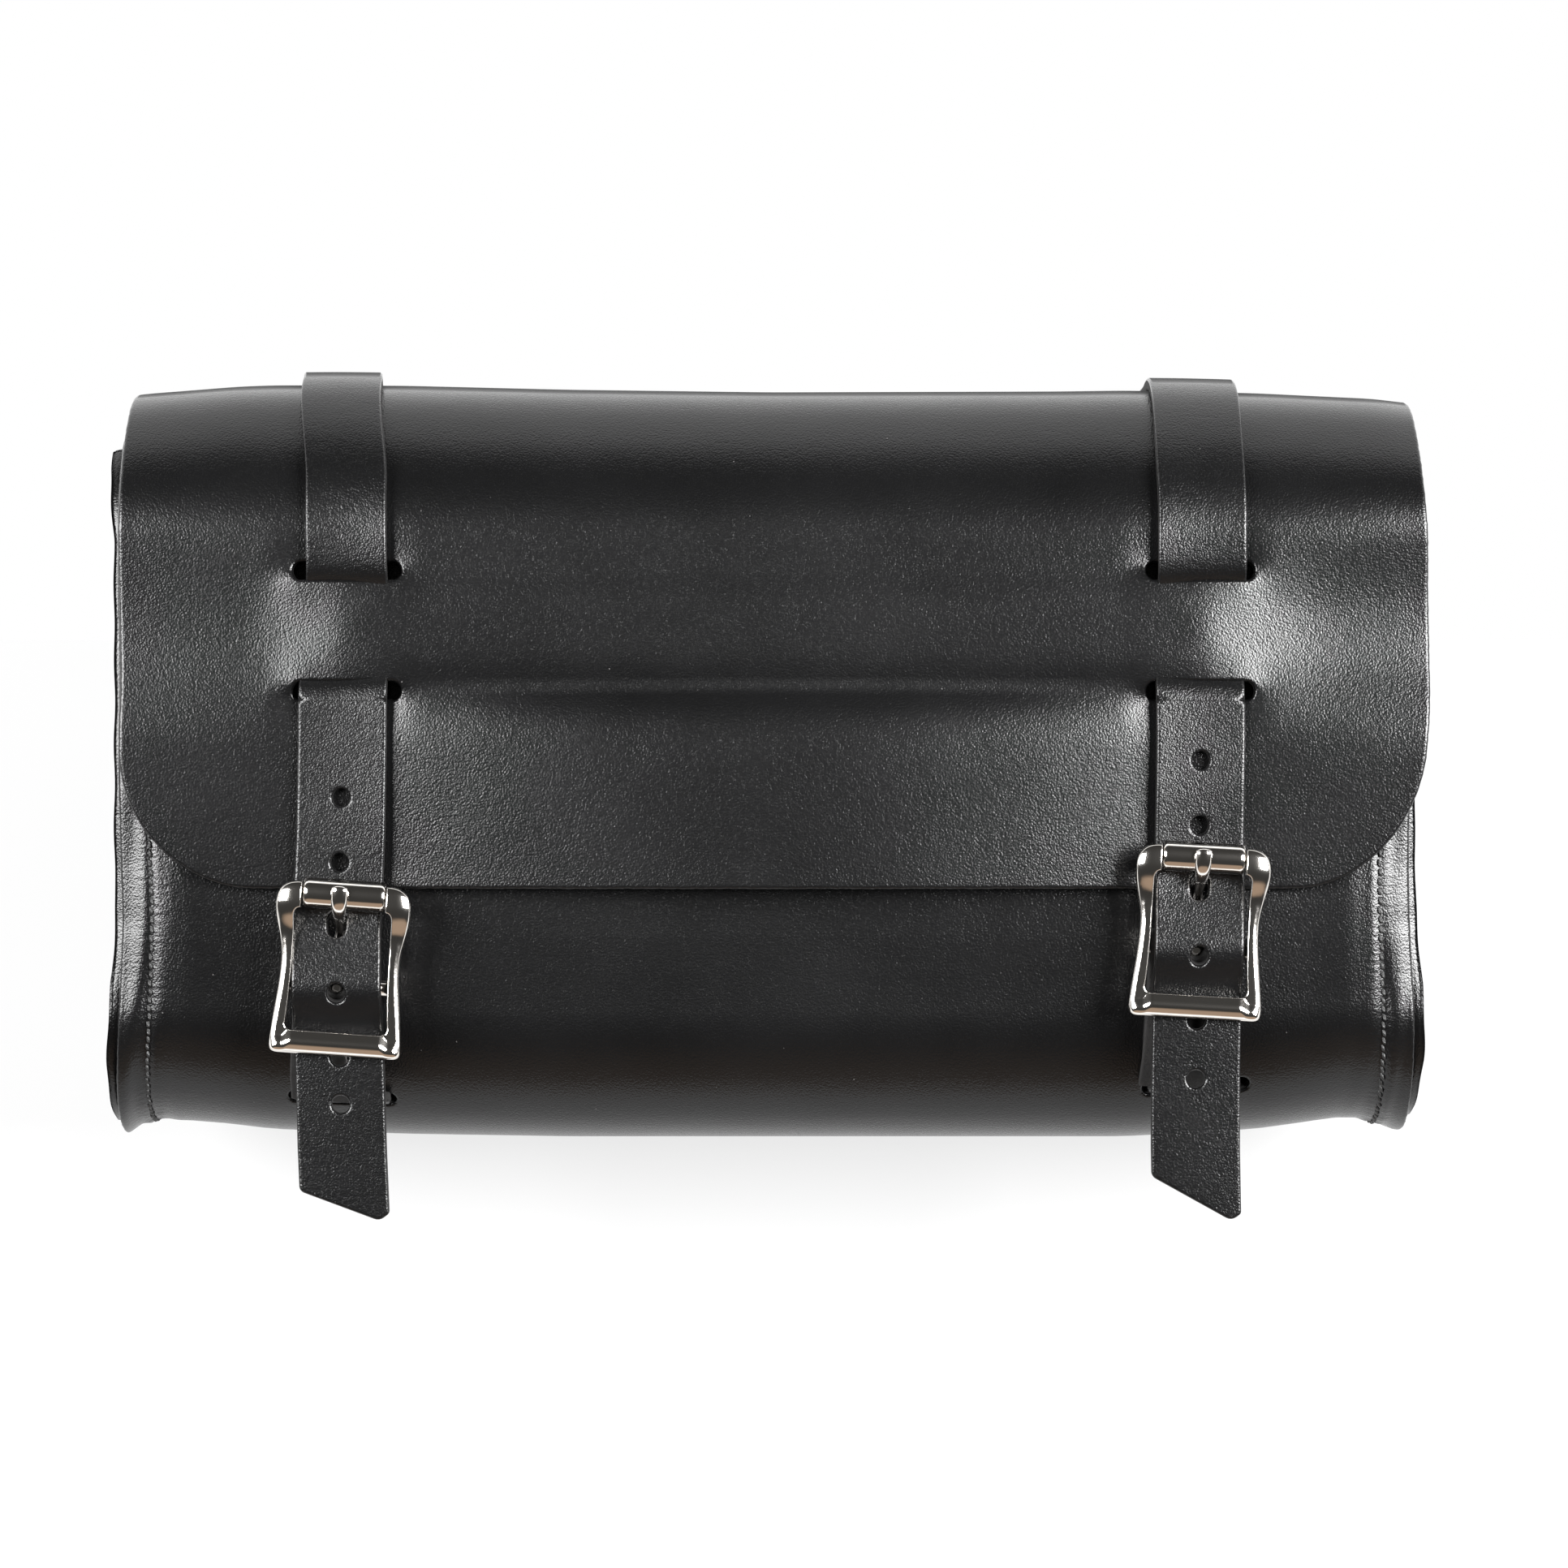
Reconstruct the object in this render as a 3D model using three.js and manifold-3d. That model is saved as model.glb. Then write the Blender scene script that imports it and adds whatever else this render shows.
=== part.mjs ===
// Leather saddlebag closed by two straps with roller buckles.
// Millimetres. X runs along the bag, minus Y is its front, Z is up.
// The origin lies midway between the two strap runs behind the bag, in the plane of
// their outer faces, at half of the bag's height.
import * as THREE from "three";
import { mergeVertices } from "three/addons/utils/BufferGeometryUtils.js";
import Module from "manifold-3d";

const wasm = await Module();
wasm.setup();

// Bag body, a wrap of one leather sheet
const BAG_WIDTH = 290;
const BAG_HEIGHT = 170;
const BAG_DEPTH = 82;
const LEATHER = 3;
const TOP_BACK_RADIUS = 28;
const TOP_FRONT_RADIUS = 36;
const BOTTOM_FRONT_RADIUS = 32;
const BOTTOM_BACK_RADIUS = 28;
const FRONT_BULGE = 3;
const BULGE_RADIUS = 260;
const BULGE_ABOVE_CORNER = 18;
const FRONT_PANEL_HEIGHT = 160;
const HINGE_HEIGHT = 137;

// Flap
const FLAP_WIDTH = 291;
const FLAP_SHIFT = 1.5;
const FLAP_EDGE_HEIGHT = 57.6;
const FLAP_CORNER_RADIUS = 30;
const FLAP_EDGE_STANDOFF = 1.2;
const FLAP_SLOPE_RUN = 10;
const FLAP_STEP_START = 30;
const FLAP_STEP_END = 5;

// End gussets and their seams
const GUSSET_THICKNESS = 2.4;
const GUSSET_RECESS = 10;
const GUSSET_PROUD = 1.6;
const SEAM_INSET = 6.8;
const THREAD_WIDTH = 0.9;
const THREAD_HEIGHT = 0.7;

// Straps and the slots that they weave through
const STRAP_WIDTH = 19;
const STRAP_THICKNESS = 2.8;
const STRAP_SPACING = 189;
const UPPER_SLOT_HEIGHT = 126.8;
const LOWER_SLOT_HEIGHT = 101.5;
const BACK_SLOT_HEIGHT = 36;
const SLOT_LENGTH = 24;
const CROSSING_ANGLE = Math.PI / 3;
const TAIL_DROP = 16;
const TAIL_SLANT = 7;
const TAIL_POINT = 5;
const TAIL_LEAN = 2;
const HOLE_RADIUS = 2.45;
const HOLE_PITCH = 14.3;
const HOLES_ABOVE = 2;
const HOLES_BELOW = 3;

// Folded strap end that carries the buckle
const CHAPE_THICKNESS = 2;
const CHAPE_RISE = 5;
const CHAPE_RETURN_GAP = 5.7;
const CHAPE_BLEND = 7;
const HUMP_SPREAD = (14 * Math.PI) / 180;
const RIVET_HEIGHT = 9.5;
const RIVET_HEAD_RADIUS = 3.4;
const RIVET_POST_RADIUS = 1.5;
const RIVET_INNER_HEAD = 0.5;
const RIVET_OUTER_HEAD = 1;

// Buckle, drawn from its centre bar
const CENTRE_BAR_RADIUS = 1.75;
const TOP_BAR_RADIUS = 1.5;
const ROLLER_RADIUS = 3.25;
const ROLLER_LENGTH = 18;
const ROLLER_RISE = 20.2;
const FRAME_DEPTH = 3;
const FRAME_TOP = 23.8;
const FRAME_BOTTOM = 15.3;
const WINDOW_TOP = 16.4;
const WINDOW_BOTTOM = 9.9;
const FRAME_TOP_WIDTH = 30;
const FRAME_WAIST_WIDTH = 26.6;
const FRAME_BOTTOM_WIDTH = 29.2;
const WAIST_RISE = 5;
const RAIL_WIDTH = 2.6;
const FRAME_CORNER = 3;
const LUG_HEIGHT = 6.4;
const LUG_WALL = 0.7;
const TONGUE_WIDTH = 3.2;
const TONGUE_THICKNESS = 2.2;
const TONGUE_EYE_WALL = 1.3;
const TONGUE_HOLE_RISE = 12.9;
const TONGUE_OVERHANG = 1.4;
const BUCKLE_TURN = (2.5 * Math.PI) / 180;

// Clearances
const FIT = 0.3;
const RUNNING = 0.15;
const SEWN = 0.1;
const SPLIT = 0.3;
const ROLLER_SIDE = 0.3;
const TONGUE_SIDE = 0.5;
const PAST = 2;

// Facets
const ARC_STEP = (9 * Math.PI) / 180;
const FOLD_STEPS = 8;
const ROUND_SIDES = 16;
const HOLE_SIDES = 12;
const SMALL = 1e-6;

const BOTTOM_Z = -BAG_HEIGHT / 2;
const BACK_Y = -(STRAP_THICKNESS + FIT);
const FRONT_Y = BACK_Y - BAG_DEPTH;
const UNDER = CHAPE_THICKNESS / 2;

// Each side has its own height of the buckle's centre bar and of the slot below it,
// both above the bag's bottom.
const SIDES = {
  left: { x: -STRAP_SPACING / 2, bar: 35.9, slot: 9 },
  right: { x: STRAP_SPACING / 2, bar: 44.1, slot: 12 },
};

const leather = new THREE.MeshStandardMaterial({ color: 0x1b1b1c, roughness: 0.45, metalness: 0 });
const strapLeather = new THREE.MeshStandardMaterial({ color: 0x202021, roughness: 0.5, metalness: 0 });
const thread = new THREE.MeshStandardMaterial({ color: 0x0e0e0f, roughness: 0.8, metalness: 0 });
const nickel = new THREE.MeshStandardMaterial({ color: 0xcfc9c0, roughness: 0.12, metalness: 1 });
const steel = new THREE.MeshStandardMaterial({ color: 0x9d9a95, roughness: 0.3, metalness: 1 });

// A closed solid from a geometry whose faces meet without gaps.
function solid(geometry) {
  const bare = geometry.index ? geometry.toNonIndexed() : geometry.clone();
  bare.deleteAttribute("normal");
  bare.deleteAttribute("uv");
  const merged = mergeVertices(bare, 1e-4);
  return new wasm.Manifold(
    new wasm.Mesh({
      numProp: 3,
      vertProperties: new Float32Array(merged.attributes.position.array),
      triVerts: new Uint32Array(merged.index.array),
    }),
  );
}

// The geometry of a solid, with flat normals.
function geometryOf(made) {
  const mesh = made.getMesh();
  const geometry = new THREE.BufferGeometry();
  geometry.setAttribute("position", new THREE.BufferAttribute(new Float32Array(mesh.vertProperties), 3));
  geometry.setIndex(new THREE.BufferAttribute(new Uint32Array(mesh.triVerts), 1));
  const flat = geometry.toNonIndexed();
  flat.computeVertexNormals();
  return flat;
}

function piece(name, made, material) {
  const mesh = new THREE.Mesh(geometryOf(made), material);
  mesh.name = name;
  return mesh;
}

function cut(body, cutters) {
  return cutters.reduce((left, cutter) => left.subtract(cutter), body);
}

function join(parts) {
  return parts.reduce((sum, part) => sum.add(part));
}

// An outline in Y and Z, swept along X from one end to the other.
function alongX(outline, from, to) {
  const geometry = new THREE.ExtrudeGeometry(new THREE.Shape(outline), {
    depth: to - from,
    bevelEnabled: false,
  });
  const turn = new THREE.Matrix4().makeBasis(
    new THREE.Vector3(0, 1, 0),
    new THREE.Vector3(0, 0, 1),
    new THREE.Vector3(1, 0, 0),
  );
  geometry.applyMatrix4(turn);
  geometry.translate(from, 0, 0);
  return solid(geometry);
}

// A shape in X and Z, swept along Y from the rear to the front.
function alongY(shape, rear, front) {
  const geometry = new THREE.ExtrudeGeometry(shape, {
    depth: rear - front,
    bevelEnabled: false,
    curveSegments: HOLE_SIDES,
  });
  geometry.rotateX(Math.PI / 2);
  geometry.translate(0, rear, 0);
  return solid(geometry);
}

// A round bar along X.
function barX(radius, from, to, y, z, sides = ROUND_SIDES) {
  const geometry = new THREE.CylinderGeometry(radius, radius, to - from, sides);
  geometry.rotateZ(Math.PI / 2);
  geometry.translate((from + to) / 2, y, z);
  return solid(geometry);
}

function boxAt(x0, x1, y0, y1, z0, z1) {
  const geometry = new THREE.BoxGeometry(x1 - x0, y1 - y0, z1 - z0);
  geometry.translate((x0 + x1) / 2, (y0 + y1) / 2, (z0 + z1) / 2);
  return solid(geometry);
}

// One rounded corner of the bag's section, as points with outward normals.
function cornerArc(before, corner, after) {
  const into = corner.at.clone().sub(before.at).normalize();
  const out = after.at.clone().sub(corner.at).normalize();
  const turn = Math.atan2(into.cross(out), into.dot(out));
  const reach = corner.radius * Math.tan(turn / 2);
  const steps = Math.max(2, Math.ceil(turn / ARC_STEP));
  const start = corner.at.clone().addScaledVector(into, -reach);
  const left = new THREE.Vector2(-into.y, into.x);
  const centre = start.clone().addScaledVector(left, corner.radius);
  return Array.from({ length: steps + 1 }, (_, i) => {
    const normal = left.clone().negate().rotateAround(new THREE.Vector2(), (turn * i) / steps);
    return { at: centre.clone().addScaledVector(normal, corner.radius), normal };
  });
}

// The section of the bag's outer face in Y and Z. It starts behind the bag at the
// flap's hinge and runs up, over the top, down the front and back along the bottom.
function bagContour() {
  const hinge = new THREE.Vector2(BACK_Y, BOTTOM_Z + HINGE_HEIGHT);
  const cornerY = FRONT_Y + FRONT_BULGE;
  const crownZ = BOTTOM_Z + BOTTOM_FRONT_RADIUS + BULGE_ABOVE_CORNER;
  const corners = [
    { at: new THREE.Vector2(BACK_Y, -BOTTOM_Z), radius: TOP_BACK_RADIUS },
    { at: new THREE.Vector2(cornerY, -BOTTOM_Z), radius: TOP_FRONT_RADIUS },
    { at: new THREE.Vector2(FRONT_Y, crownZ), radius: BULGE_RADIUS },
    { at: new THREE.Vector2(cornerY, BOTTOM_Z), radius: BOTTOM_FRONT_RADIUS },
    { at: new THREE.Vector2(BACK_Y, BOTTOM_Z), radius: BOTTOM_BACK_RADIUS },
  ];
  const arcs = corners.flatMap((corner, i) => {
    const before = corners[(i + corners.length - 1) % corners.length];
    return cornerArc(before, corner, corners[(i + 1) % corners.length]);
  });
  const back = new THREE.Vector2(1, 0);
  const loop = [{ at: hinge, normal: back }, ...arcs, { at: hinge.clone(), normal: back }];
  let run = 0;
  return loop.map((point, i) => {
    run += i ? point.at.distanceTo(loop[i - 1].at) : 0;
    return { ...point, run };
  });
}

const contour = bagContour();
const LOOP_END = contour[contour.length - 1].run;

// The point, outward normal and direction of travel of the contour after a given run.
function onContour(run) {
  const last = contour.length - 2;
  const i = Math.min(last, Math.max(0, contour.findIndex((p) => p.run > run) - 1));
  const start = run >= LOOP_END ? contour[last] : contour[i];
  const end = run >= LOOP_END ? contour[last + 1] : contour[i + 1];
  const share = (run - start.run) / (end.run - start.run);
  const normal = start.normal.clone().lerp(end.normal, share).normalize();
  return {
    at: start.at.clone().lerp(end.at, share),
    normal,
    travel: new THREE.Vector2(-normal.y, normal.x),
  };
}

// The run at which the contour passes a height above the bag's bottom, on its front
// where it travels down or on its back where it travels up.
function runAtHeight(height, front) {
  const z = BOTTOM_Z + height;
  for (let i = 1; i < contour.length; i += 1) {
    const a = contour[i - 1];
    const b = contour[i];
    const down = a.at.y > z && b.at.y <= z;
    const up = a.at.y < z && b.at.y >= z && i > contour.length / 2;
    if (front ? down : up) {
      return a.run + ((b.run - a.run) * (a.at.y - z)) / (a.at.y - b.at.y);
    }
  }
  return LOOP_END;
}

function offContour(run, offset) {
  const { at, normal } = onContour(run);
  return at.clone().addScaledVector(normal, offset);
}

// The runs between two ends at which a layer needs a point.
function stations(from, to, extra = []) {
  const inside = [...contour.map((p) => p.run), ...extra];
  const kept = inside.filter((run) => run > from + SPLIT && run < to - SPLIT);
  const sorted = [from, ...kept, to].sort((a, b) => a - b);
  return sorted.filter((run, i) => i === 0 || run - sorted[i - 1] > SMALL);
}

// A layer that follows the contour between an inner and an outer offset.
function layer(from, to, inner, outer, extra = []) {
  const runs = stations(from, to, extra);
  const outside = runs.map((run) => offContour(run, outer(run)));
  const inside = runs.map((run) => offContour(run, inner(run)));
  return [...outside, ...inside.reverse()];
}

// Straight lines through a list of pairs, as a function of the first value.
function through(pairs) {
  return (x) => {
    const i = pairs.findIndex((pair) => pair[0] >= x);
    if (i === 0) return pairs[0][1];
    if (i < 0) return pairs[pairs.length - 1][1];
    const [x0, y0] = pairs[i - 1];
    const [x1, y1] = pairs[i];
    return y0 + ((y1 - y0) * (x - x0)) / (x1 - x0);
  };
}

// A band of even thickness along a middle line, mitred at each bend.
function band(line, thickness) {
  const half = thickness / 2;
  const side = (sign) =>
    line.map((point, i) => {
      const into = point.clone().sub(line[Math.max(0, i - 1)]).normalize();
      const out = line[Math.min(line.length - 1, i + 1)].clone().sub(point).normalize();
      const first = i === 0 ? out : into;
      const second = i === line.length - 1 ? into : out;
      const mean = first.clone().add(second).normalize();
      const reach = half / mean.dot(first);
      return new THREE.Vector2(
        point.x + sign * mean.y * reach,
        point.y - sign * mean.x * reach,
      );
    });
  return [...side(1), ...side(-1).reverse()];
}

// Runs of the places that the wrap, flap and straps share
const FRONT_TOP = runAtHeight(FRONT_PANEL_HEIGHT, true);
const FLAP_END = runAtHeight(FLAP_EDGE_HEIGHT, true);
const UPPER_SLOT = runAtHeight(UPPER_SLOT_HEIGHT, true);
const LOWER_SLOT = runAtHeight(LOWER_SLOT_HEIGHT, true);
const BACK_SLOT = runAtHeight(BACK_SLOT_HEIGHT, false);

// A strap leaves one face of the leather and reaches the other at a slant.
const CROSSING_DEPTH = LEATHER + 2 * FIT + STRAP_THICKNESS;
const CROSSING_HALF = CROSSING_DEPTH / Math.tan(CROSSING_ANGLE) / 2;
const SLOT_HALF =
  LEATHER / Math.tan(CROSSING_ANGLE) / 2 + (STRAP_THICKNESS / 2 + FIT) / Math.sin(CROSSING_ANGLE);
const CROSSING_LEAD = (STRAP_THICKNESS / 2) * Math.tan(CROSSING_ANGLE / 2) + SPLIT;
const BRIDGE_STANDOFF = STRAP_THICKNESS + 2 * FIT;
const ABOVE = FIT + STRAP_THICKNESS / 2;

// Offset of the flap's inner face along the contour
const flapKnots = [
  [0, -LEATHER],
  [FRONT_TOP - FLAP_STEP_START, -LEATHER],
  [FRONT_TOP - FLAP_STEP_END, FIT],
  [FRONT_TOP, 2 * FIT],
  [UPPER_SLOT - FLAP_SLOPE_RUN, BRIDGE_STANDOFF],
  [LOWER_SLOT + FLAP_SLOPE_RUN, BRIDGE_STANDOFF],
  [FLAP_END, FLAP_EDGE_STANDOFF],
];
const flapInner = through(flapKnots);
const flapOuter = (run) => flapInner(run) + LEATHER;

// A slot with round ends through the leather, centred on a run and a place along X.
function slotCutter(x, run, inner) {
  const { at, normal, travel } = onContour(run);
  const reach = SLOT_LENGTH / 2 - SLOT_HALF;
  const shape = new THREE.Shape();
  shape.absarc(reach, 0, SLOT_HALF, -Math.PI / 2, Math.PI / 2, false);
  shape.absarc(-reach, 0, SLOT_HALF, Math.PI / 2, (3 * Math.PI) / 2, false);
  const depth = LEATHER + 2 * PAST;
  const geometry = new THREE.ExtrudeGeometry(shape, {
    depth,
    bevelEnabled: false,
    curveSegments: HOLE_SIDES / 2,
  });
  const start = at.clone().addScaledVector(normal, inner + LEATHER + PAST);
  const place = new THREE.Matrix4().makeBasis(
    new THREE.Vector3(1, 0, 0),
    new THREE.Vector3(0, travel.x, travel.y),
    new THREE.Vector3(0, -normal.x, -normal.y),
  );
  geometry.applyMatrix4(place);
  geometry.translate(x, start.x, start.y);
  return solid(geometry);
}

// Front, bottom and back of the bag in one bent sheet
function bodyPanel() {
  const outline = layer(FRONT_TOP, LOOP_END - SPLIT / 2, () => -LEATHER, () => 0);
  const slots = Object.values(SIDES).flatMap(({ x, slot }) => [
    slotCutter(x, runAtHeight(slot, true), -LEATHER),
    slotCutter(x, BACK_SLOT, -LEATHER),
  ]);
  return cut(alongX(outline, -BAG_WIDTH / 2, BAG_WIDTH / 2), slots);
}

// What is cut off at one lower corner of the flap to round it
function flapCorner(side) {
  const edge = FLAP_SHIFT + (side * FLAP_WIDTH) / 2;
  const low = offContour(FLAP_END, FLAP_EDGE_STANDOFF + LEATHER).y;
  const centreX = edge - side * FLAP_CORNER_RADIUS;
  const centreZ = low + FLAP_CORNER_RADIUS;
  const shape = new THREE.Shape();
  shape.moveTo(centreX, low);
  shape.lineTo(centreX, low - PAST);
  shape.lineTo(edge + side * PAST, low - PAST);
  shape.lineTo(edge + side * PAST, centreZ);
  shape.lineTo(edge, centreZ);
  const end = side > 0 ? 0 : Math.PI;
  shape.absarc(centreX, centreZ, FLAP_CORNER_RADIUS, end, -Math.PI / 2, side > 0);
  const middle = (BACK_Y + FRONT_Y) / 2;
  return alongY(shape, middle, FRONT_Y - LEATHER - BRIDGE_STANDOFF - PAST);
}

function flap() {
  const knots = flapKnots.map((knot) => knot[0]);
  const outline = layer(SPLIT / 2, FLAP_END, flapInner, flapOuter, knots);
  const from = FLAP_SHIFT - FLAP_WIDTH / 2;
  const slots = Object.values(SIDES).flatMap(({ x }) => [
    slotCutter(x, UPPER_SLOT, flapInner(UPPER_SLOT)),
    slotCutter(x, LOWER_SLOT, flapInner(LOWER_SLOT)),
  ]);
  return cut(alongX(outline, from, from + FLAP_WIDTH), [
    ...slots,
    flapCorner(-1),
    flapCorner(1),
  ]);
}

// An end tray: a plate set back from the wrap's edge and a flange sewn to the wrap
function gusset(side) {
  const top = LOOP_END - SPLIT / 2 - SEAM_INSET;
  const outer = -LEATHER - SEWN;
  const inner = outer - GUSSET_THICKNESS;
  const skin = stations(FRONT_TOP, top).map((run) => offContour(run, outer));
  const hollow = stations(FRONT_TOP, top).map((run) => offContour(run, inner));
  const lift = new THREE.Vector2(0, BAG_HEIGHT);
  hollow.push(hollow[hollow.length - 1].clone().add(lift));
  hollow.push(hollow[0].clone().add(lift));
  const plate = BAG_WIDTH / 2 - GUSSET_RECESS;
  const ends = [plate - GUSSET_THICKNESS, BAG_WIDTH / 2 + GUSSET_PROUD];
  const bowl = [plate, BAG_WIDTH / 2 + GUSSET_PROUD + PAST];
  const span = (pair) => (side > 0 ? pair : [-pair[1], -pair[0]]);
  return alongX(skin, ...span(ends)).subtract(alongX(hollow, ...span(bowl)));
}

// The line of thread that holds a gusset to the wrap
function seamThread(side) {
  const outline = layer(
    FRONT_TOP + SEAM_INSET,
    LOOP_END - SPLIT - SEAM_INSET,
    () => SEWN / 2,
    () => THREAD_HEIGHT,
  );
  const x = side * (BAG_WIDTH / 2 - SEAM_INSET);
  return alongX(outline, x - THREAD_WIDTH / 2, x + THREAD_WIDTH / 2);
}

// Points of a strap's middle line along the contour, with bends only at its knots
function strapLine(knots) {
  const [from, to] = [knots[0][0], knots[knots.length - 1][0]];
  const offset = through(knots);
  const runs = stations(from, to, knots.map((knot) => knot[0]));
  return runs.map((run) => offContour(run, offset(run)));
}

// Fixed part of a strap: in at the front slot, along the bottom inside the bag, out at
// the back slot and up behind the bag to the flap's hinge
function strapBack({ x, slot }) {
  const front = runAtHeight(slot, true);
  const inside = -LEATHER - ABOVE;
  const line = strapLine([
    [front - CROSSING_HALF - CROSSING_LEAD, ABOVE],
    [front - CROSSING_HALF, ABOVE],
    [front + CROSSING_HALF, inside],
    [BACK_SLOT - CROSSING_HALF, inside],
    [BACK_SLOT + CROSSING_HALF, ABOVE],
    [LOOP_END - SPLIT / 2, ABOVE],
  ]);
  const half = STRAP_WIDTH / 2;
  return alongX(band(line, STRAP_THICKNESS), x - half, x + half);
}

const FRONT_EXIT = LOWER_SLOT + CROSSING_HALF + CROSSING_LEAD;

// Part of a strap that the flap carries: over the top, in at the upper slot, behind
// the bridge and out at the lower slot
function strapFront({ x }) {
  const outside = flapKnots
    .filter((knot) => knot[0] > 0 && knot[0] < UPPER_SLOT - CROSSING_HALF)
    .map(([run, inner]) => [run, inner + LEATHER + ABOVE]);
  const line = strapLine([
    [SPLIT / 2, ABOVE],
    ...outside,
    [UPPER_SLOT - CROSSING_HALF, BRIDGE_STANDOFF + LEATHER + ABOVE],
    [UPPER_SLOT + CROSSING_HALF, BRIDGE_STANDOFF - ABOVE],
    [LOWER_SLOT - CROSSING_HALF, BRIDGE_STANDOFF - ABOVE],
    [LOWER_SLOT + CROSSING_HALF, BRIDGE_STANDOFF + LEATHER + ABOVE],
    [FRONT_EXIT, BRIDGE_STANDOFF + LEATHER + ABOVE],
  ]);
  const half = STRAP_WIDTH / 2;
  return alongX(band(line, STRAP_THICKNESS), x - half, x + half);
}

// Depths of the buckle's bars in front of the bag's foremost face
const FRONTMOST_Y = Math.min(...contour.map((point) => point.at.x));
const CHAPE_LIFT = FIT + RIVET_INNER_HEAD + FIT;
const BAR_OUT = CHAPE_LIFT + CHAPE_THICKNESS + FIT + CENTRE_BAR_RADIUS;
const FOLD_RADIUS = CENTRE_BAR_RADIUS + FIT + UNDER;
const HUMP_RADIUS = FOLD_RADIUS + UNDER + FIT + STRAP_THICKNESS / 2;
const HUMP_OUT = BAR_OUT + HUMP_RADIUS;
const HUMP_SHOULDER = new THREE.Vector2(HUMP_RADIUS, 0).rotateAround(new THREE.Vector2(), HUMP_SPREAD);

// How far the strap's middle line stands out where the roller crosses it
function strapOutAt(side) {
  const run = Math.min(runAtHeight(side.bar + ROLLER_RISE, true), FLAP_END);
  return FRONTMOST_Y - offContour(run, flapOuter(run) + ABOVE).x;
}
const STRAP_OUT = Math.max(...Object.values(SIDES).map(strapOutAt));
const ROLLER_OUT = STRAP_OUT + STRAP_THICKNESS / 2 + FIT + ROLLER_RADIUS;
const KEEPER_OUT = ROLLER_OUT - FRAME_DEPTH / 2 - FIT - STRAP_THICKNESS / 2;

// A point in Y and Z that stands a given way out and up from a buckle's centre bar
function byBar({ bar }, out, up) {
  return new THREE.Vector2(FRONTMOST_Y - out, BOTTOM_Z + bar + up);
}

// What a slanted cut takes off the free end of a strap
function tailCutter(x) {
  const low = BOTTOM_Z - TAIL_DROP;
  const half = STRAP_WIDTH / 2;
  const shape = new THREE.Shape([
    new THREE.Vector2(x - half - PAST, low - PAST),
    new THREE.Vector2(x + half + PAST, low - PAST),
    new THREE.Vector2(x + half + PAST, low + TAIL_POINT + PAST),
    new THREE.Vector2(x + half, low + TAIL_POINT),
    new THREE.Vector2(x + half - TAIL_POINT, low),
    new THREE.Vector2(x - half, low + TAIL_SLANT),
    new THREE.Vector2(x - half - PAST, low + TAIL_SLANT),
  ]);
  return alongY(shape, FRONTMOST_Y + PAST, FRONTMOST_Y - HUMP_OUT - STRAP_THICKNESS - PAST);
}

// Free part of a strap: over the flap, through the buckle and down in front of the bag
function strapEnd(side) {
  const lead = runAtHeight(side.bar + ROLLER_RISE + HOLE_PITCH, true);
  const start = FRONT_EXIT + SPLIT;
  const bend = LOWER_SLOT + FLAP_SLOPE_RUN;
  const line = strapLine([
    [start, BRIDGE_STANDOFF + LEATHER + ABOVE],
    ...(bend < lead - SPLIT ? [[bend, BRIDGE_STANDOFF + LEATHER + ABOVE]] : []),
    [lead, flapOuter(lead) + ABOVE],
  ]);
  line.push(byBar(side, STRAP_OUT, ROLLER_RISE));
  line.push(byBar(side, BAR_OUT + HUMP_SHOULDER.x, HUMP_SHOULDER.y));
  line.push(byBar(side, HUMP_OUT, 0));
  line.push(byBar(side, BAR_OUT + HUMP_SHOULDER.x, -HUMP_SHOULDER.y));
  line.push(byBar(side, KEEPER_OUT, 2 * FIT - WINDOW_BOTTOM));
  line.push(byBar(side, KEEPER_OUT - TAIL_LEAN, -side.bar - TAIL_DROP));
  const half = STRAP_WIDTH / 2;
  const body = alongX(band(line, STRAP_THICKNESS), side.x - half, side.x + half);
  const first = BOTTOM_Z + side.bar + TONGUE_HOLE_RISE;
  const holes = [];
  for (let i = -HOLES_ABOVE; i <= HOLES_BELOW; i += 1) {
    const shape = new THREE.Shape();
    shape.absarc(side.x, first - i * HOLE_PITCH, HOLE_RADIUS, 0, 2 * Math.PI, false);
    holes.push(alongY(shape, FRONTMOST_Y, FRONTMOST_Y - 2 * HUMP_OUT));
  }
  return cut(body, [...holes, tailCutter(side.x)]);
}

// Where the fold of a strap leaves its slot
function chapeStart(side) {
  const skew = STRAP_WIDTH * Math.sin(BUCKLE_TURN);
  return runAtHeight(side.slot, true) - CROSSING_HALF - CROSSING_LEAD - SPLIT - skew;
}

// The line of the folded end: up from the slot, round the centre bar and down behind
function chapeLine(side) {
  const start = chapeStart(side);
  const bar = runAtHeight(side.bar, true);
  const low = CHAPE_LIFT + UNDER;
  const high = CHAPE_LIFT + CHAPE_THICKNESS + SEWN + UNDER;
  const up = strapLine([
    [bar + CHAPE_BLEND, high],
    [start - CHAPE_RISE, high],
    [start, FIT + UNDER],
  ]).reverse();
  const rise = up[up.length - 1].clone().sub(byBar(side, BAR_OUT, 0));
  const meet = Math.atan2(rise.y, -rise.x) + Math.acos(Math.min(1, FOLD_RADIUS / rise.length()));
  const fold = Array.from({ length: FOLD_STEPS + 1 }, (_, i) => {
    const angle = meet + ((Math.PI - meet) * i) / FOLD_STEPS;
    return byBar(
      side,
      BAR_OUT + FOLD_RADIUS * Math.cos(angle),
      FOLD_RADIUS * Math.sin(angle),
    );
  });
  const down = strapLine([
    [bar + CHAPE_BLEND, low],
    [start - CHAPE_RETURN_GAP, low],
  ]);
  return [...up, ...fold, ...down];
}

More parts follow.
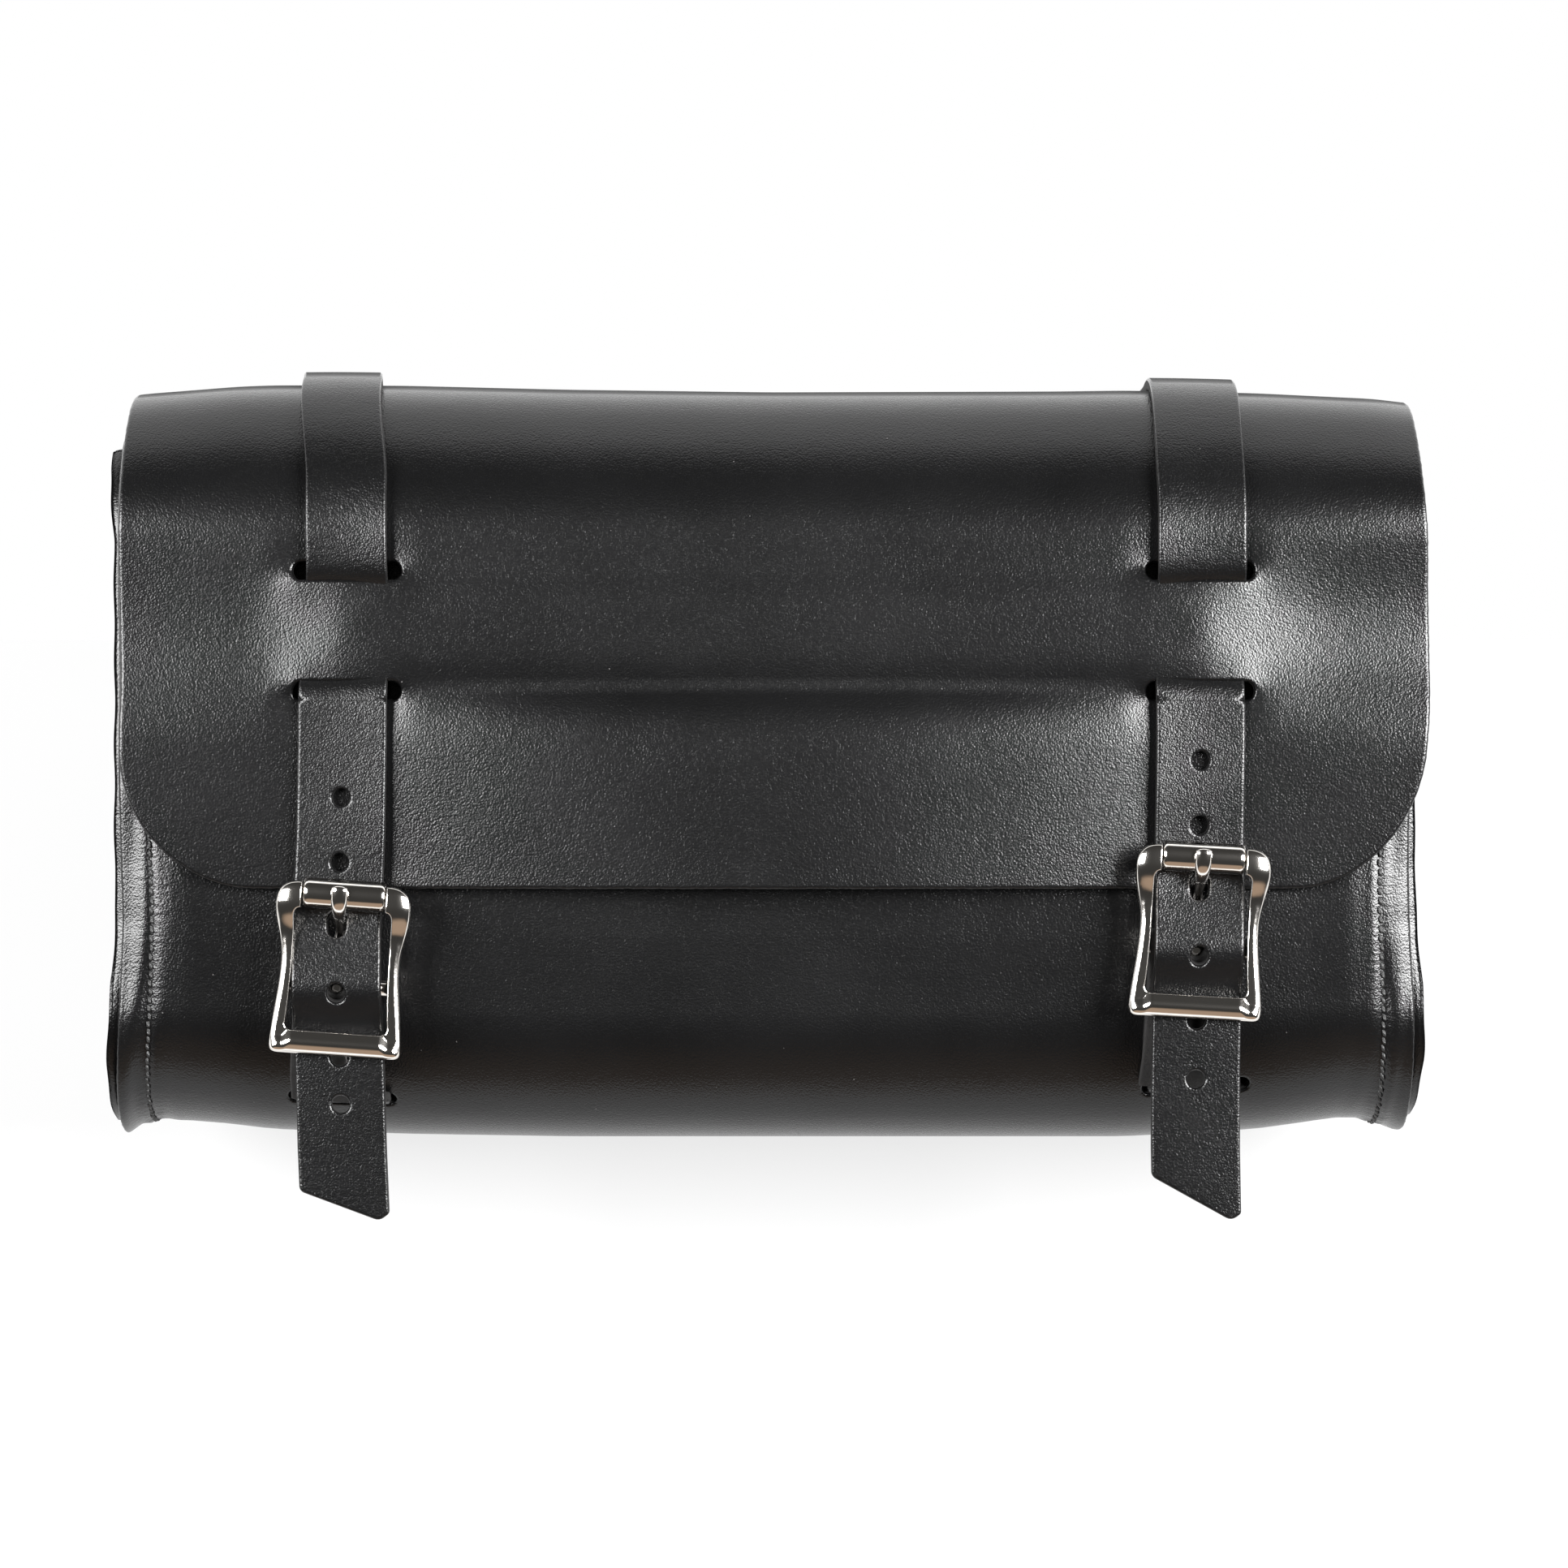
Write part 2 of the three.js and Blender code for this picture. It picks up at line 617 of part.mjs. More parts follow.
// Everything that turns with a buckle is drawn from its centre bar.
function fromBar(side, points) {
  const origin = byBar(side, BAR_OUT, 0);
  return points.map((point) => point.clone().sub(origin));
}

function chape(side) {
  const outline = band(fromBar(side, chapeLine(side)), CHAPE_THICKNESS);
  const half = STRAP_WIDTH / 2;
  const wide = TONGUE_WIDTH / 2 + TONGUE_SIDE;
  const reach = FOLD_RADIUS + CHAPE_THICKNESS;
  const eye = boxAt(-wide, wide, -reach, reach, -FOLD_RADIUS - UNDER, reach);
  const post = rivetSolid(side, RIVET_POST_RADIUS + FIT, RIVET_POST_RADIUS + FIT);
  return cut(alongX(outline, -half, half), [eye, post]);
}

// A rivet's turned profile, set square to the bag's face below the buckle
function rivetSolid(side, head, post) {
  const under = FIT;
  const inner = under + RIVET_INNER_HEAD;
  const grip = CHAPE_LIFT + 2 * CHAPE_THICKNESS + SEWN + FIT;
  const top = grip + RIVET_OUTER_HEAD;
  const profile = [
    [0, under],
    [head, under],
    [head, inner],
    [post, inner],
    [post, grip],
    [head, grip],
    [head * 0.7, top],
    [0, top],
  ].map(([r, h]) => new THREE.Vector2(r, h));
  const geometry = new THREE.LatheGeometry(profile, ROUND_SIDES);
  const { at, normal } = onContour(chapeStart(side) - RIVET_HEIGHT);
  const axis = new THREE.Vector3(0, normal.x, normal.y);
  const turn = new THREE.Quaternion().setFromUnitVectors(new THREE.Vector3(0, 1, 0), axis);
  geometry.applyQuaternion(turn);
  const [place] = fromBar(side, [at]);
  geometry.translate(0, place.x, place.y);
  return solid(geometry);
}

// Front outline of the buckle's frame, open at the top where the roller runs
function frameShape() {
  const [top, waist, low] = [FRAME_TOP_WIDTH / 2, FRAME_WAIST_WIDTH / 2, FRAME_BOTTOM_WIDTH / 2];
  const bay = ROLLER_LENGTH / 2 + ROLLER_SIDE;
  const rim = waist - RAIL_WIDTH;
  const shape = new THREE.Shape();
  shape.moveTo(FRAME_CORNER - low, -FRAME_BOTTOM);
  shape.lineTo(low - FRAME_CORNER, -FRAME_BOTTOM);
  shape.quadraticCurveTo(low, -FRAME_BOTTOM, low, FRAME_CORNER - FRAME_BOTTOM);
  shape.bezierCurveTo(low, -WINDOW_BOTTOM / 2, waist, 0, waist, WAIST_RISE);
  shape.bezierCurveTo(waist, WINDOW_TOP / 2, top, WINDOW_TOP / 2, top, WINDOW_TOP);
  shape.lineTo(top, FRAME_TOP - FRAME_CORNER);
  shape.quadraticCurveTo(top, FRAME_TOP, top - FRAME_CORNER, FRAME_TOP);
  shape.lineTo(bay, FRAME_TOP);
  shape.lineTo(bay, WINDOW_TOP);
  shape.lineTo(rim, WINDOW_TOP - (rim - bay));
  shape.lineTo(rim, -WINDOW_BOTTOM);
  shape.lineTo(-rim, -WINDOW_BOTTOM);
  shape.lineTo(-rim, WINDOW_TOP - (rim - bay));
  shape.lineTo(-bay, WINDOW_TOP);
  shape.lineTo(-bay, FRAME_TOP);
  shape.lineTo(FRAME_CORNER - top, FRAME_TOP);
  shape.quadraticCurveTo(-top, FRAME_TOP, -top, FRAME_TOP - FRAME_CORNER);
  shape.lineTo(-top, WINDOW_TOP);
  shape.bezierCurveTo(-top, WINDOW_TOP / 2, -waist, WINDOW_TOP / 2, -waist, WAIST_RISE);
  shape.bezierCurveTo(-waist, 0, -low, -WINDOW_BOTTOM / 2, -low, FRAME_CORNER - FRAME_BOTTOM);
  shape.quadraticCurveTo(-low, -FRAME_BOTTOM, FRAME_CORNER - low, -FRAME_BOTTOM);
  return shape;
}

const FRAME_RISE = ROLLER_OUT - BAR_OUT;

function frame() {
  const face = -FRAME_RISE;
  const ring = alongY(frameShape(), face + FRAME_DEPTH / 2, face - FRAME_DEPTH / 2);
  const waist = FRAME_WAIST_WIDTH / 2;
  const rim = waist - RAIL_WIDTH;
  const below = CENTRE_BAR_RADIUS + LUG_WALL;
  const lug = (x0, x1) => boxAt(x0, x1, face, below, -LUG_HEIGHT / 2, LUG_HEIGHT / 2);
  const bay = ROLLER_LENGTH / 2 + ROLLER_SIDE + RAIL_WIDTH / 2;
  return join([
    ring,
    lug(rim, waist),
    lug(-waist, -rim),
    barX(CENTRE_BAR_RADIUS, -waist + RUNNING, waist - RUNNING, 0, 0),
    barX(TOP_BAR_RADIUS, -bay, bay, face, ROLLER_RISE),
  ]);
}

function roller() {
  const half = ROLLER_LENGTH / 2;
  const bore = TOP_BAR_RADIUS + RUNNING + RUNNING;
  const tube = barX(ROLLER_RADIUS, -half, half, 0, 0);
  return tube.subtract(barX(bore, -half - PAST, half + PAST, 0, 0));
}

// Side view of the tongue: from the centre bar's eye up behind the strap, out through
// its hole and over the roller
function tongueLine() {
  const half = TONGUE_THICKNESS / 2;
  const hump = new THREE.Vector2(-HUMP_SHOULDER.x, HUMP_SHOULDER.y);
  const under = new THREE.Vector2(BAR_OUT - STRAP_OUT, ROLLER_RISE);
  const share = (TONGUE_HOLE_RISE - hump.y) / (under.y - hump.y);
  const hole = hump.clone().lerp(under, share);
  const centre = new THREE.Vector2(-FRAME_RISE, ROLLER_RISE);
  const clear = ROLLER_RADIUS + RUNNING + half;
  const toward = centre.clone().sub(hole);
  const swing = Math.asin(Math.min(1, clear / toward.length()));
  const climb = toward.clone().normalize().rotateAround(new THREE.Vector2(), swing);
  const depth = (STRAP_THICKNESS / 2 + FIT + half) / Math.abs(climb.x);
  const knee = hole.clone().addScaledVector(climb, -depth);
  const outward = new THREE.Vector2(-climb.y, climb.x);
  const steps = Math.max(2, Math.round(FOLD_STEPS / 3));
  const end = new THREE.Vector2(-1, 0);
  const sweep = Math.acos(Math.min(1, outward.dot(end)));
  const over = Array.from({ length: steps + 1 }, (_, i) => {
    const turned = outward.clone().rotateAround(new THREE.Vector2(), (-sweep * i) / steps);
    return centre.clone().addScaledVector(turned, clear);
  });
  const tip = over[steps].clone().add(new THREE.Vector2(0, TONGUE_OVERHANG));
  return [new THREE.Vector2(0, CENTRE_BAR_RADIUS + RUNNING + half), knee, ...over, tip];
}

function tongue() {
  const half = TONGUE_WIDTH / 2;
  const bore = CENTRE_BAR_RADIUS + RUNNING;
  const eye = barX(bore + TONGUE_EYE_WALL, -half, half, 0, 0);
  const prong = alongX(band(tongueLine(), TONGUE_THICKNESS), -half, half);
  return eye.add(prong).subtract(barX(bore, -half - PAST, half + PAST, 0, 0));
}

// The folded strap end with its rivet, frame, roller and tongue, all turned a little
// about the hole that the tongue passes through
function buckleGroup(name, side) {
  const turned = new THREE.Group();
  const place = byBar(side, BAR_OUT, TONGUE_HOLE_RISE);
  turned.position.set(side.x, place.x, place.y);
  turned.rotation.y = BUCKLE_TURN;
  const group = new THREE.Group();
  group.position.z = -TONGUE_HOLE_RISE;
  turned.add(group);
  const rollerMesh = piece(`${name}_buckle_roller`, roller(), nickel);
  rollerMesh.position.set(0, -FRAME_RISE, ROLLER_RISE);
  const rivet = rivetSolid(side, RIVET_HEAD_RADIUS, RIVET_POST_RADIUS);
  group.add(
    piece(`${name}_chape`, chape(side), strapLeather),
    piece(`${name}_chape_rivet`, rivet, steel),
    piece(`${name}_buckle_frame`, frame(), nickel),
    rollerMesh,
    piece(`${name}_buckle_tongue`, tongue(), nickel),
  );
  return turned;
}

function saddlebag() {
  const bag = new THREE.Group();
  bag.add(
    piece("body_panel", bodyPanel(), leather),
    piece("flap", flap(), leather),
    piece("left_gusset", gusset(-1), leather),
    piece("right_gusset", gusset(1), leather),
    piece("left_seam_thread", seamThread(-1), thread),
    piece("right_seam_thread", seamThread(1), thread),
  );
  for (const [name, side] of Object.entries(SIDES)) {
    bag.add(
      piece(`${name}_strap_back`, strapBack(side), strapLeather),
      piece(`${name}_strap_front`, strapFront(side), strapLeather),
      piece(`${name}_strap_end`, strapEnd(side), strapLeather),
      buckleGroup(name, side),
    );
  }
  return bag;
}

export default saddlebag();
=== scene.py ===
import math

import bpy
import numpy as np
from bpy.props import FloatProperty, FloatVectorProperty, PointerProperty
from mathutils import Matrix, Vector
from mathutils.geometry import delaunay_2d_cdt


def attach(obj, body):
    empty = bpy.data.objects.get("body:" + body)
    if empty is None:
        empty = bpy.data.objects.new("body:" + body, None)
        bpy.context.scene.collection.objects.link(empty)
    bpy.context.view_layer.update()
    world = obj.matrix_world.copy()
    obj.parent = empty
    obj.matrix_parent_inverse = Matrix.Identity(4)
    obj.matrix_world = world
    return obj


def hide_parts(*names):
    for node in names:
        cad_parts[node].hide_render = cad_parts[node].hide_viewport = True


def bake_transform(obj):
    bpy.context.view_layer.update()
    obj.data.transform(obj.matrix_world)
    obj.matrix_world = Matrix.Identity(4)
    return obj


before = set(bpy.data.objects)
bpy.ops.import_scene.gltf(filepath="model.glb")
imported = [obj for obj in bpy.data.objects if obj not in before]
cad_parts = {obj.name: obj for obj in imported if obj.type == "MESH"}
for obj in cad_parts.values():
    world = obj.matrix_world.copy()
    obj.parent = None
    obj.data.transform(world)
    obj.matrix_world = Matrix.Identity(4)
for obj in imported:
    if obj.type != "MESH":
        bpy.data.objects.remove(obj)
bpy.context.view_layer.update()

bl_info = {
    "name": "Leather saddlebag",
    "version": (1, 0, 0),
    "blender": (4, 5, 0),
    "location": "View3D > Sidebar > Saddlebag",
    "description": "Builds a strapped leather saddlebag with roller buckles over its CAD frame",
    "category": "Add Mesh",
}

MM = 0.001

# Section of the bag, in millimetres
TOP_BACK_RADIUS = 28
TOP_FRONT_RADIUS = 36
BOTTOM_FRONT_RADIUS = 32
BOTTOM_BACK_RADIUS = 28
FRONT_BULGE = 3
BULGE_RADIUS = 260
BULGE_ABOVE_CORNER = 18
FRONT_PANEL_HEIGHT = 160
HINGE_HEIGHT = 137
HINGE_STRIP = 6

# Slots, all above the bag's bottom
UPPER_SLOT_HEIGHT = 126.8
LOWER_SLOT_HEIGHT = 101.5
BACK_SLOT_HEIGHT = 36
SLOT_LENGTH = 24
SLOT_HALF = 2.0
CROSSING = 1.85
CROSSING_LEAD = 1.1
ARCH_RISE = 9.5
SLOT_SHIFT = 0.6
LIP_UP = 0.5
LIP_DOWN = 0.8
FLAP_EDGE_GAP = 1.2

# Gussets
GUSSET_THICKNESS = 2.4
GUSSET_RECESS = 10
GUSSET_PROUD = 1.6
GUSSET_BEND = 3.2

# Holes and free end of a strap
HOLE_RADIUS = 2.0
HOLE_PITCH = 14.3
TAIL_DROP = 16
WORN_ABOVE = 3.4
WORN_BELOW = 2.5
TIP_BEND = (13.6, -14)

# Form of a strap across its width, and how the left one is narrowed over the top
TWIST = 0.06
CUP = 0.0032
DOME = 0.0008
NARROW_SHARE = 0.09
NARROW_SHIFT = 0.8

# Buckle, from its centre bar
CENTRE_BAR_RADIUS = 1.75
BAR_OUT = 5.15
FRAME_RISE = 6.061
ROLLER_RISE = 20.2
STRAP_OUT = 6.261
KEEPER_OUT = 7.811
HUMP_OUT = 10.9
HUMP_SLOPE = 14
KEEPER_DROP = 9.3
TONGUE_HOLE_RISE = 12.9
CHAPE_THICKNESS = 2.0
CHAPE_LIFT = 1.1
FIT = 0.3
SEWN = 0.1
SPLIT = 0.3
CHAPE_HALF = 9.5
CHAPE_BEND = (-0.5, 3.5)
FRAME_THICKNESS = 1.7
TOP_BAR_RADIUS = 1.5
LUG_SIDE = 11.8
LUG_HALF_WIDTH = 1.0
LUG_HALF_HEIGHT = 3.2
LUG_BEHIND = 2.4
ROLLER_BORE = 1.95
RIVET_RADIUS = 3.4
RIVET_SHANK = 1.5
RIVET_DOME = 0.85
RIVET_BEFORE_SLOT = 9.5

# Stage, in metres and watts
CARD_Y = 0.012
CARD_REACH = 3
CARD_TOP = 0.03
LAMP_PLACE = (1.37, -1.42, 0.42)
LAMP_TARGET = (0, -0.05, 0.42)
LAMP_SIZE = (1.28, 0.95)
CAMERA_PLACE = (0.0034, -1.225, -0.0046)
CAMERA_LENS = 117.9
# What differs between the sides. In millimetres: how far slots and buckle sit to the side, the heights
# of the centre bar and of the folded end's slot above the bottom, the slant of the tip, and the last
# hole's rise. Then the bridge's slope, how far inside the strap it crests and how it fades, and the
# lamp's power in watts.
SIDES = {
    "left": {
        "sign": -1, "slot_shift": 1.2, "low_slot_shift": -1.0, "turn": math.radians(4.0),
        "frame_shift": 0.9, "tongue_shift": 0, "bar": 35.9, "slot": 9, "slant": 6.6,
        "last_hole_up": 3.9, "steep": 0.135, "inside": 4, "fade": (11, 30, 0.8), "lamp": 136,
    },
    "right": {
        "sign": 1, "slot_shift": 1.0, "low_slot_shift": 1.0, "turn": math.radians(3.3),
        "frame_shift": 0.7, "tongue_shift": 0.4, "bar": 44.1, "slot": 12, "slant": 9.8,
        "last_hole_up": 1.3, "steep": 0.15, "inside": 2, "fade": (14, 42, 0.64), "lamp": 205,
    },
}

# Measured lift of the bag's bottom and top lines along X, and lean of its sides up Z
BOTTOM_BOW = (
    (-148, -143, -138, -131, -121, -113, -83, -46, 81, 111, 122, 131, 136, 140, 145, 148),
    (2.2, 3.2, 4.2, 4.2, 2.8, 1.7, 0.6, 0, 0, 1.7, 3.2, 5.0, 4.4, 2.6, 3.8, 3.9),
)
TOP_BOW = (
    (-148, -144, -132, -121, -113, -83, -46, 0, 66, 81, 111, 122, 140, 148),
    (-2.6, -1.5, -0.6, 0.3, 0.6, 0.5, -0.4, -1.0, -0.8, -0.6, -1.2, -1.7, -2.5, -3.6),
)
LEFT_LEAN = (
    (-85, -77, -70, -62, -47, -33, -25, 4, 18, 40, 90),
    (-1.4, -1.2, -0.4, 0.2, 0.9, 1.3, 0.9, 0.2, 0.6, 0, 0),
)
RIGHT_LEAN = (
    (-85, -77, -62, -47, -33, -10, 0, 15, 48, 60, 70, 90),
    (-1.0, -1.1, -1.3, -1.8, -2.5, -2.6, -1.6, -0.3, -0.8, -1.3, -1.7, -1.9),
)

# Height of each place on a strap's free end, and how far the left and the right end stray there
STRAP_DRIFT = (
    (-103, -85, -68, -50, -35, -15, 5, 30),
    (1.1, 0.4, 0, -0.6, -0.7, 0.1, 0.4, 0.5),
    (0.1, -0.3, -0.3, 0.0, 0.4, 0.6, 0.9, 0.8),
)


# Sizes and colours that a user may change
class SaddlebagSizes(bpy.types.PropertyGroup):
    """Main sizes of the bag and its straps"""

    width: FloatProperty(
        name="Bag width", description="Length of the bag between its seams", default=0.290,
        unit="LENGTH",
    )
    height: FloatProperty(
        name="Bag height", description="Height of the wrapped body", default=0.170, unit="LENGTH"
    )
    depth: FloatProperty(
        name="Bag depth", description="Depth of the wrapped body", default=0.082, unit="LENGTH"
    )
    leather: FloatProperty(
        name="Leather", description="Thickness of the bag leather", default=0.003, unit="LENGTH"
    )
    flap_width: FloatProperty(
        name="Flap width", description="Width of the flap", default=0.291, unit="LENGTH"
    )
    flap_shift: FloatProperty(
        name="Flap shift", description="How far the flap sits to the right", default=0.0015,
        unit="LENGTH",
    )
    flap_edge: FloatProperty(
        name="Flap edge height", description="Flap's lower edge above the bottom", default=0.0576,
        unit="LENGTH",
    )
    flap_corner: FloatProperty(
        name="Flap corner radius", description="Radius of the flap's lower corners", default=0.030,
        unit="LENGTH",
    )
    strap_width: FloatProperty(
        name="Strap width", description="Width of each strap", default=0.0196, unit="LENGTH"
    )
    strap_thickness: FloatProperty(
        name="Strap thickness", description="Thickness of each strap", default=0.0028, unit="LENGTH"
    )
    strap_spacing: FloatProperty(
        name="Strap spacing", description="Distance between the straps", default=0.189, unit="LENGTH"
    )
    seam_inset: FloatProperty(
        name="Seam inset", description="Stitch line from the edge", default=0.0068, unit="LENGTH"
    )
    stitch_pitch: FloatProperty(
        name="Stitch pitch", description="Length of one stitch", default=0.0021, unit="LENGTH"
    )
    roller_radius: FloatProperty(
        name="Roller radius", description="Outer radius of the buckle roller", default=0.0034,
        unit="LENGTH",
    )
    roller_length: FloatProperty(
        name="Roller length", description="Length of the buckle roller", default=0.018, unit="LENGTH"
    )


class SaddlebagLook(bpy.types.PropertyGroup):
    """Colours of the finishes"""

    bag_colour: FloatVectorProperty(
        name="Bag leather", description="Dye of the bag leather", subtype="COLOR", size=4, min=0, max=1,
        default=(0.0016, 0.0016, 0.0017, 1),
    )
    strap_colour: FloatVectorProperty(
        name="Strap leather", description="Dye of the strap leather", subtype="COLOR", size=4, min=0,
        max=1, default=(0.0016, 0.0016, 0.0017, 1),
    )
    flesh_colour: FloatVectorProperty(
        name="Flesh side", description="Unfinished side of the leather", subtype="COLOR", size=4, min=0,
        max=1, default=(0.0065, 0.006, 0.0058, 1),
    )
    thread_colour: FloatVectorProperty(
        name="Thread", description="Waxed thread", subtype="COLOR", size=4, min=0, max=1,
        default=(0.004, 0.004, 0.004, 1),
    )
    plate_colour: FloatVectorProperty(
        name="Nickel plate", description="Buckle plating", subtype="COLOR", size=4, min=0, max=1,
        default=(0.80, 0.76, 0.71, 1),
    )
    steel_colour: FloatVectorProperty(
        name="Rivet steel", description="Rivet heads", subtype="COLOR", size=4, min=0, max=1,
        default=(0.52, 0.50, 0.48, 1),
    )


# Meshes
def triangles_of_grid(rows, columns):
    """Two triangles for each cell of a grid of points stored row after row."""
    corner = (np.arange(rows - 1)[:, None] * columns + np.arange(columns - 1)).ravel()
    first = np.stack([corner, corner + columns, corner + columns + 1], 1)
    second = np.stack([corner, corner + columns + 1, corner + 1], 1)
    return np.concatenate([first, second])


def volume_of(points, faces):
    """Signed volume: a third of the sum of each face's area times its distance from the origin."""
    a, b, c = (points[faces[:, i]] for i in range(3))
    return np.einsum("ij,ij->i", a, np.cross(b, c)).sum() / 6


def new_piece(name, points, faces, materials, index=None):
    """An object at the origin from points in millimetres and outward triangles."""
    if volume_of(points - points.mean(0), faces) < 0:
        faces = faces[:, ::-1]
    mesh = bpy.data.meshes.new(name)
    mesh.vertices.add(len(points))
    mesh.vertices.foreach_set("co", (points * MM).astype(np.float32).ravel())
    mesh.loops.add(faces.size)
    mesh.loops.foreach_set("vertex_index", np.ascontiguousarray(faces, dtype=np.int32).ravel())
    mesh.polygons.add(len(faces))
    mesh.polygons.foreach_set("loop_start", np.arange(0, faces.size, 3, dtype=np.int32))
    if index is not None:
        mesh.polygons.foreach_set("material_index", np.ascontiguousarray(index, dtype=np.int32))
    mesh.polygons.foreach_set("use_smooth", np.ones(len(faces), dtype=bool))
    for material in materials:
        mesh.materials.append(material)
    mesh.validate()
    mesh.update()
    piece = bpy.data.objects.new(name, mesh)
    bpy.context.scene.collection.objects.link(piece)
    return piece


def joined(parts):
    """Points and triangles of several closed shells as one list each."""
    shift = np.cumsum([0] + [len(points) for points, _ in parts[:-1]])
    solid = []
    for points, faces in parts:
        outward = volume_of(points - points.mean(0), faces) > 0
        solid.append(faces if outward else faces[:, ::-1])
    points = np.concatenate([points for points, _ in parts])
    return points, np.concatenate([faces + first for faces, first in zip(solid, shift)])


# Outlines in the plane of a sheet
def rectangle(left, right, low, high):
    """Its four corners, counterclockwise from the lower left."""
    return [(left, low), (right, low), (right, high), (left, high)]


def rounded_outline(corners, radii, spacing):
    """A closed outline: straight sides between corners, each corner an arc of its own radius,
    with points about one spacing apart."""
    corners = np.array(corners, float)
    line = []
    for i, radius in enumerate(radii):
        corner = corners[i]
        into = corner - corners[i - 1]
        out = corners[(i + 1) % len(corners)] - corner
        into, out = into / np.linalg.norm(into), out / np.linalg.norm(out)
        turn = math.atan2(into[0] * out[1] - into[1] * out[0], into @ out)
        if radius <= 0 or abs(turn) < 1e-6:
            line.append(corner[None])
            continue
        start = corner - into * radius * math.tan(abs(turn) / 2)
        side = math.copysign(1, turn)
        centre = start + side * radius * np.array([-into[1], into[0]])
        steps = max(4, math.ceil(abs(turn) * radius / min(spacing, radius * 0.35)))
        angle = np.linspace(0, turn, steps + 1)
        spoke = start - centre
        across = spoke[0] * np.cos(angle) - spoke[1] * np.sin(angle)
        along = spoke[0] * np.sin(angle) + spoke[1] * np.cos(angle)
        line.append(centre + np.stack([across, along], 1))
    return even_outline(np.concatenate(line), spacing)


def even_outline(line, spacing):
    """The same closed line with its long sides split to the spacing."""
    after = np.roll(line, -1, 0)
    parts = np.maximum(1, np.ceil(np.linalg.norm(after - line, axis=1) / spacing - 0.01)).astype(int)
    start = np.repeat(np.arange(len(line)), parts)
    step = np.concatenate([np.arange(n) for n in parts]) / parts[start]
    out = line[start] + (after - line)[start] * step[:, None]
    apart = np.linalg.norm(np.roll(out, -1, 0) - out, axis=1)
    return out[apart > 1e-4]


def circle(centre, radius, count=28):
    """A ring of points at one radius from its centre, at even angles."""
    angle = np.linspace(0, 2 * np.pi, count, endpoint=False)
    return np.array(centre) + radius * np.stack([np.cos(angle), np.sin(angle)], 1)


def turned(loop, forward):
    """The loop, running counterclockwise if forward, else clockwise."""
    after = np.roll(loop, -1, 0)
    area = (loop[:, 0] * after[:, 1] - loop[:, 1] * after[:, 0]).sum()
    return loop if (area > 0) == forward else loop[::-1]


def inward(loop):
    """Unit directions to the left of a loop's travel, which is into the sheet."""
    along = np.roll(loop, -1, 0) - np.roll(loop, 1, 0)
    along /= np.linalg.norm(along, axis=1)[:, None] + 1e-12
    return np.stack([-along[:, 1], along[:, 0]], 1)


def ragged(loop, amount, seed):
    """A cut edge that wanders: the sum of four waves, 2 to 21 mm long, with seeded phases."""
    step = np.linalg.norm(np.roll(loop, -1, 0) - loop, axis=1)
    along = np.cumsum(step)
    phase = np.random.default_rng(seed).uniform(0, 2 * np.pi, 4)
    total = along[-1]
    waves = 0
    for length, start, share in zip((1.9, 3.7, 8.3, 21), phase, (0.35, 0.35, 0.2, 0.3)):
        waves = waves + np.sin(2 * np.pi * round(total / length) * along / total + start) * share
    return loop + inward(loop) * (waves * amount)[:, None]


def rows_with_edges(points, starts, ends, reach):
    """Batches of points sorted by height, each with the edges that pass within the reach."""
    order = np.argsort(points[:, 1], kind="stable")
    low, high = np.minimum(starts[:, 1], ends[:, 1]), np.maximum(starts[:, 1], ends[:, 1])
    for i in range(0, len(order), 600):
        rows = order[i:i + 600]
        heights = points[rows, 1]
        near = (high >= heights.min() - reach) & (low <= heights.max() + reach)
        yield rows, near


def distance_to(points, starts, ends, reach=3.0):
    """Least distance from each point to the edges of an outline, up to the reach."""
    along = ends - starts
    size = (along ** 2).sum(1)
    out = np.full(len(points), float(reach))
    for rows, near in rows_with_edges(points, starts, ends, reach):
        if near.any():
            gap = points[rows, None] - starts[None, near]
            share = np.clip((gap * along[near]).sum(2) / size[near], 0, 1)
            away = gap - share[..., None] * along[near]
            out[rows] = np.minimum(reach, np.sqrt((away ** 2).sum(2).min(1)))
    return out


def inside_of(points, starts, ends):
    """True where a line to the right crosses the outlines an odd number of times."""
    out = np.zeros(len(points), bool)
    rise = ends[:, 1] - starts[:, 1]
    slope = (ends[:, 0] - starts[:, 0]) / np.where(rise == 0, 1e-12, rise)
    for rows, near in rows_with_edges(points, starts, ends, 0.1):
        x, y = points[rows, 0, None], points[rows, 1, None]
        spans = (starts[near, 1] > y) != (ends[near, 1] > y)
        crossing = x < starts[near, 0] + (y - starts[near, 1]) * slope[near]
        out[rows] = (spans & crossing).sum(1) % 2 == 1
    return out


def sheet(name, loops, thickness, fillet, lines, place, materials, flat=None):
    """A closed sheet. Its flat outline is filled with triangles; the two faces stand half a
    thickness to each side, less near an edge, where they follow a quarter circle of the fillet's
    radius; and a wall joins them along every loop. place carries (u, v, w) to the bag."""
    points, faces, index = sheet_shell(loops, thickness, fillet, lines, place, flat)
    return new_piece(name, points, faces, materials, index)


def fill_points(loops, starts, ends, insets, lines):
    """Points to fill a flat outline with: its own, rows that follow every loop at the insets, and
    those of a grid that lie inside, clear of the rows."""
    rows = []
    for loop in loops:
        into = inward(loop)
        for inset in insets:
            row = loop + into * inset
            rows.append(row[distance_to(row, starts, ends) > inset * 0.93])
    u, v = np.meshgrid(*lines, indexing="ij")
    grid = np.stack([u.ravel(), v.ravel()], 1)
    grid = grid[inside_of(grid, starts, ends)]
    grid = grid[distance_to(grid, starts, ends) > insets[-1] + 0.35]
    return np.concatenate([starts, *rows, grid])


